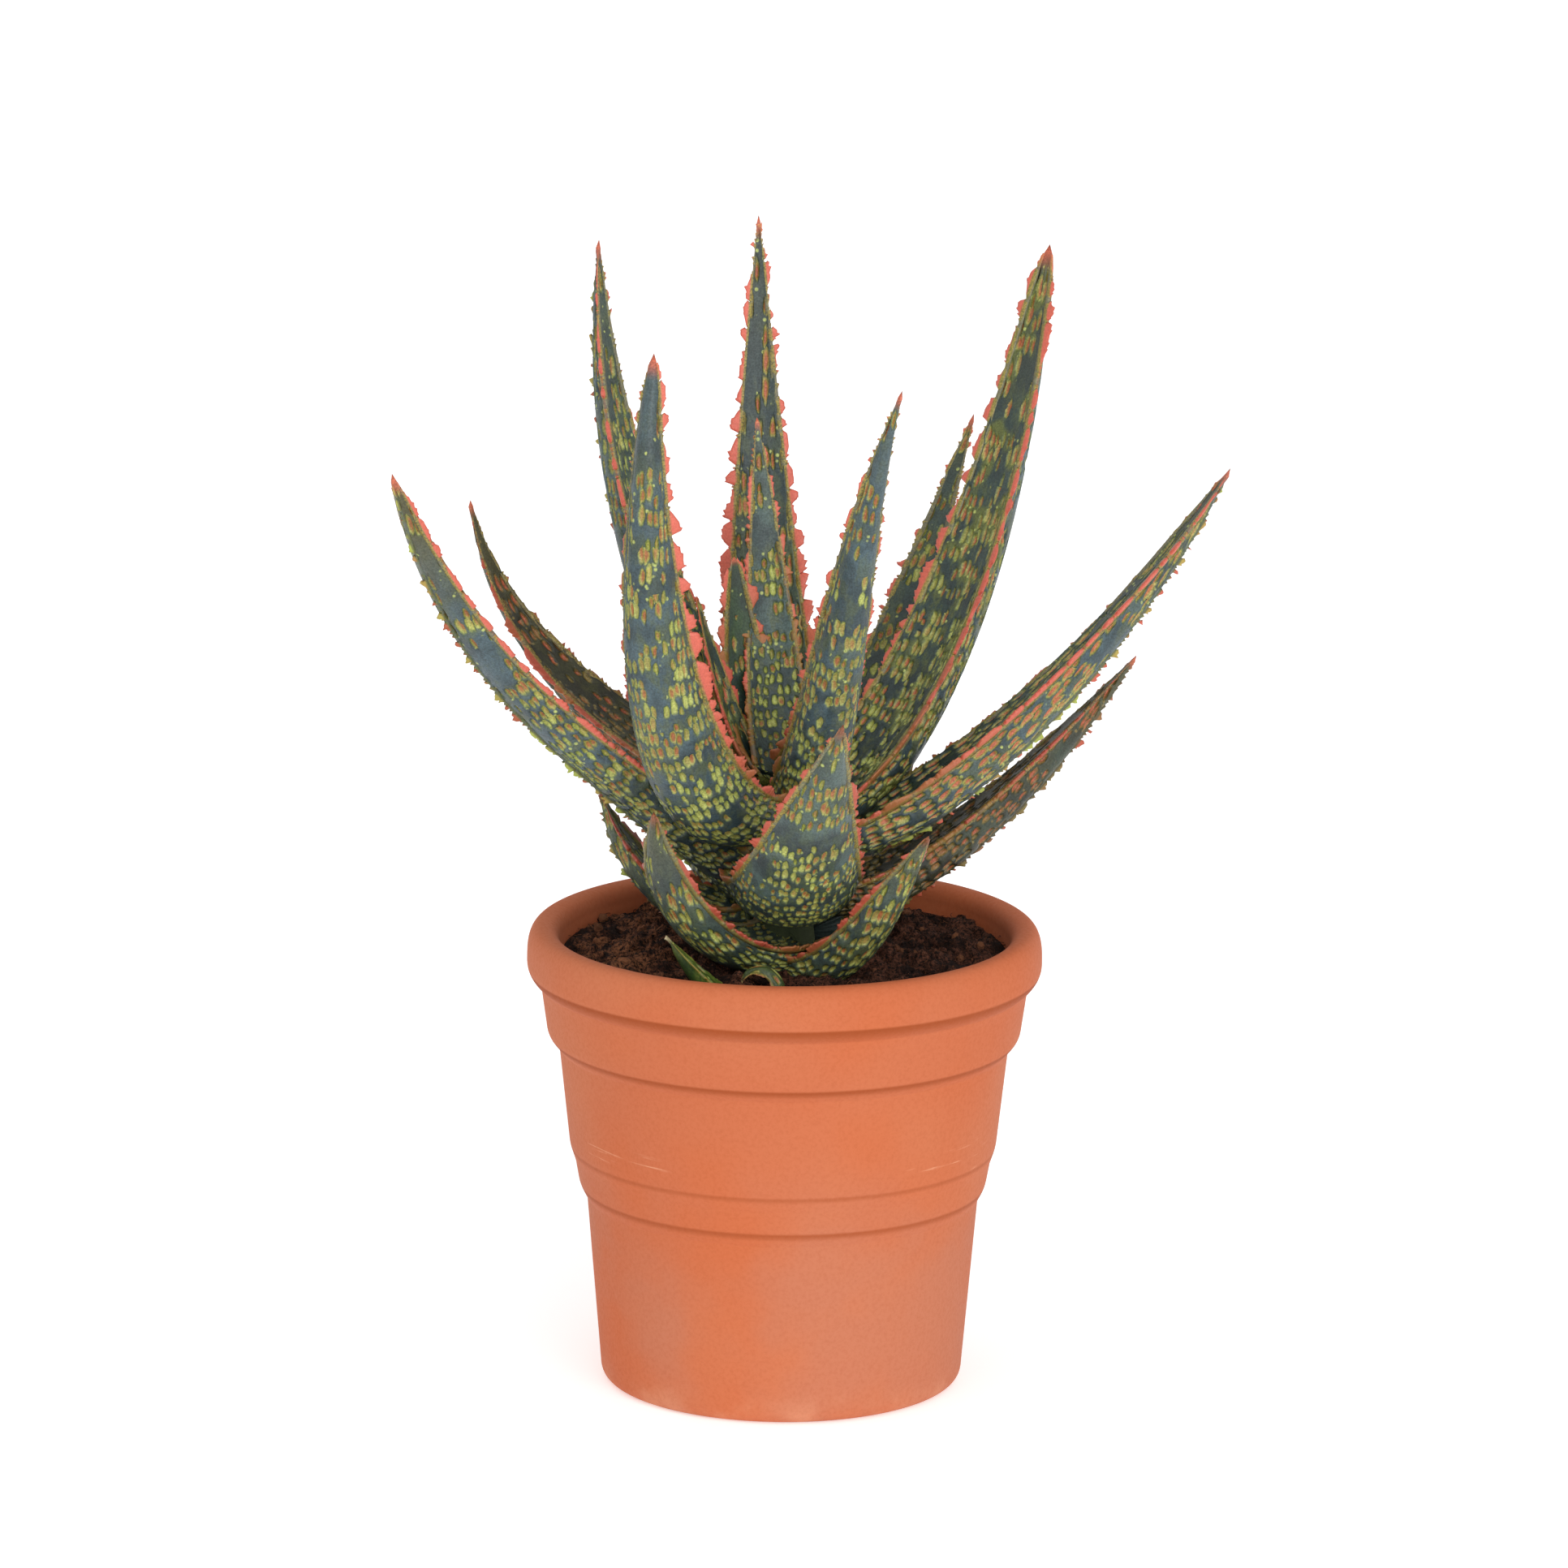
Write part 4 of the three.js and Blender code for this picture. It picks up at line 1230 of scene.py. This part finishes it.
@dataclass
class Stem:
    """The short stem among the leaf bases."""

    bottom: float = 84.0
    top: float = 145.0
    low: float = 9.5
    high: float = 2.6
    dark: tuple = tint(44, 54, 34)
    light: tuple = tint(78, 90, 50)

    def build(self) -> bpy.types.Object:
        """Makes the stem in place of its solid."""
        count = 24
        path = [(self.low + (self.high - self.low) * k / count, self.bottom + (self.top - self.bottom) * k / count)
                for k in range(count + 1)]
        piece = lathe("stem_bark", path, 48)
        g = ShaderGraph("stem")
        grain = g.noise(g.place(), 420.0, 4.0, 0.6)
        g.surface(g.mix(grain, self.dark, self.light), 0.7)
        g.bump(grain, 0.0005, 0.5)
        piece.data.materials.append(g.material)
        join_to_solid(piece, "stem")
        return piece


# ---- Studio ------------------------------------------------------------------------------------


@dataclass(frozen=True)
class Studio:
    """The camera, the floor and the soft light."""

    distance: float = 2.5
    elevation: float = 13.6
    aim: tuple[float, float, float] = (-0.0005, 0.0, 0.14285)
    focal_pixels: float = 13250.0
    roll: float = 0.009
    sky: float = 0.66
    key: float = 1.55
    fill: float = 0.3
    glow: float = 0.42

    def camera(self) -> None:
        """Sets the camera at the photograph's place."""
        data = bpy.data.cameras.new("camera")
        data.sensor_width = SENSOR
        data.lens = self.focal_pixels / IMAGE_SIDE * SENSOR
        data.clip_start, data.clip_end = 0.1, 50.0
        tilt = math.radians(self.elevation)
        away = Vector((0, -math.cos(tilt), math.sin(tilt)))
        view = placed("camera", data)
        turn = (-away).to_track_quat("-Z", "Y").to_matrix().to_4x4() @ Matrix.Rotation(self.roll, 4, "Z")
        view.matrix_world = Matrix.Translation(Vector(self.aim) + away * self.distance) @ turn
        bpy.context.scene.camera = view

    def floor(self) -> None:
        """Lays the plain pale floor."""
        mesh = bpy.data.meshes.new("floor")
        reach = 9.0
        mesh.from_pydata([(-reach, -reach, 0), (reach, -reach, 0), (reach, reach, 0), (-reach, reach, 0)], [],
                         [(0, 1, 2, 3)])
        piece = placed("floor", mesh)
        g = ShaderGraph("floor_paper")
        g.surface((0.9, 0.9, 0.9, 1), 0.9, Specular_IOR_Level=0.1, Emission_Strength=self.glow)
        g.shader.inputs["Emission Color"].default_value = (1.0, 1.0, 1.0, 1)
        mesh.materials.append(g.material)

    def light(self) -> None:
        """Sets up the soft light."""
        world = bpy.data.worlds.new("studio")
        bpy.context.scene.world = world
        world.use_nodes = True
        back = world.node_tree.nodes["Background"]
        back.inputs[0].default_value = (1.0, 1.0, 1.0, 1)
        back.inputs[1].default_value = self.sky
        for name, place, angle, strength in (("key", (0.6, -1.5, 0.6), 50, self.key),
                                             ("fill", (-1.0, -0.9, 1.0), 60, self.fill)):
            data = bpy.data.lights.new(name, "SUN")
            data.angle, data.energy = math.radians(angle), strength
            lamp = placed(name, data)
            lamp.location = place
            lamp.rotation_euler = (-Vector(place)).to_track_quat("-Z", "Y").to_euler()

    def build(self) -> None:
        """Makes the whole studio."""
        self.camera()
        self.floor()
        self.light()
        bpy.context.scene.view_settings.view_transform = "Standard"


def main() -> None:
    """Builds the studio and the pieces in order."""
    Studio().build()
    for part in (Pot(), Soil(), Stem(), Rosette()):
        made = part.build()
        names = [p.name for p in made] if isinstance(made, list) else [made.name]
        log.info("%s: %s", type(part).__name__, ", ".join(names))
    bpy.context.view_layer.update()


if __name__ == "__main__":
    main()
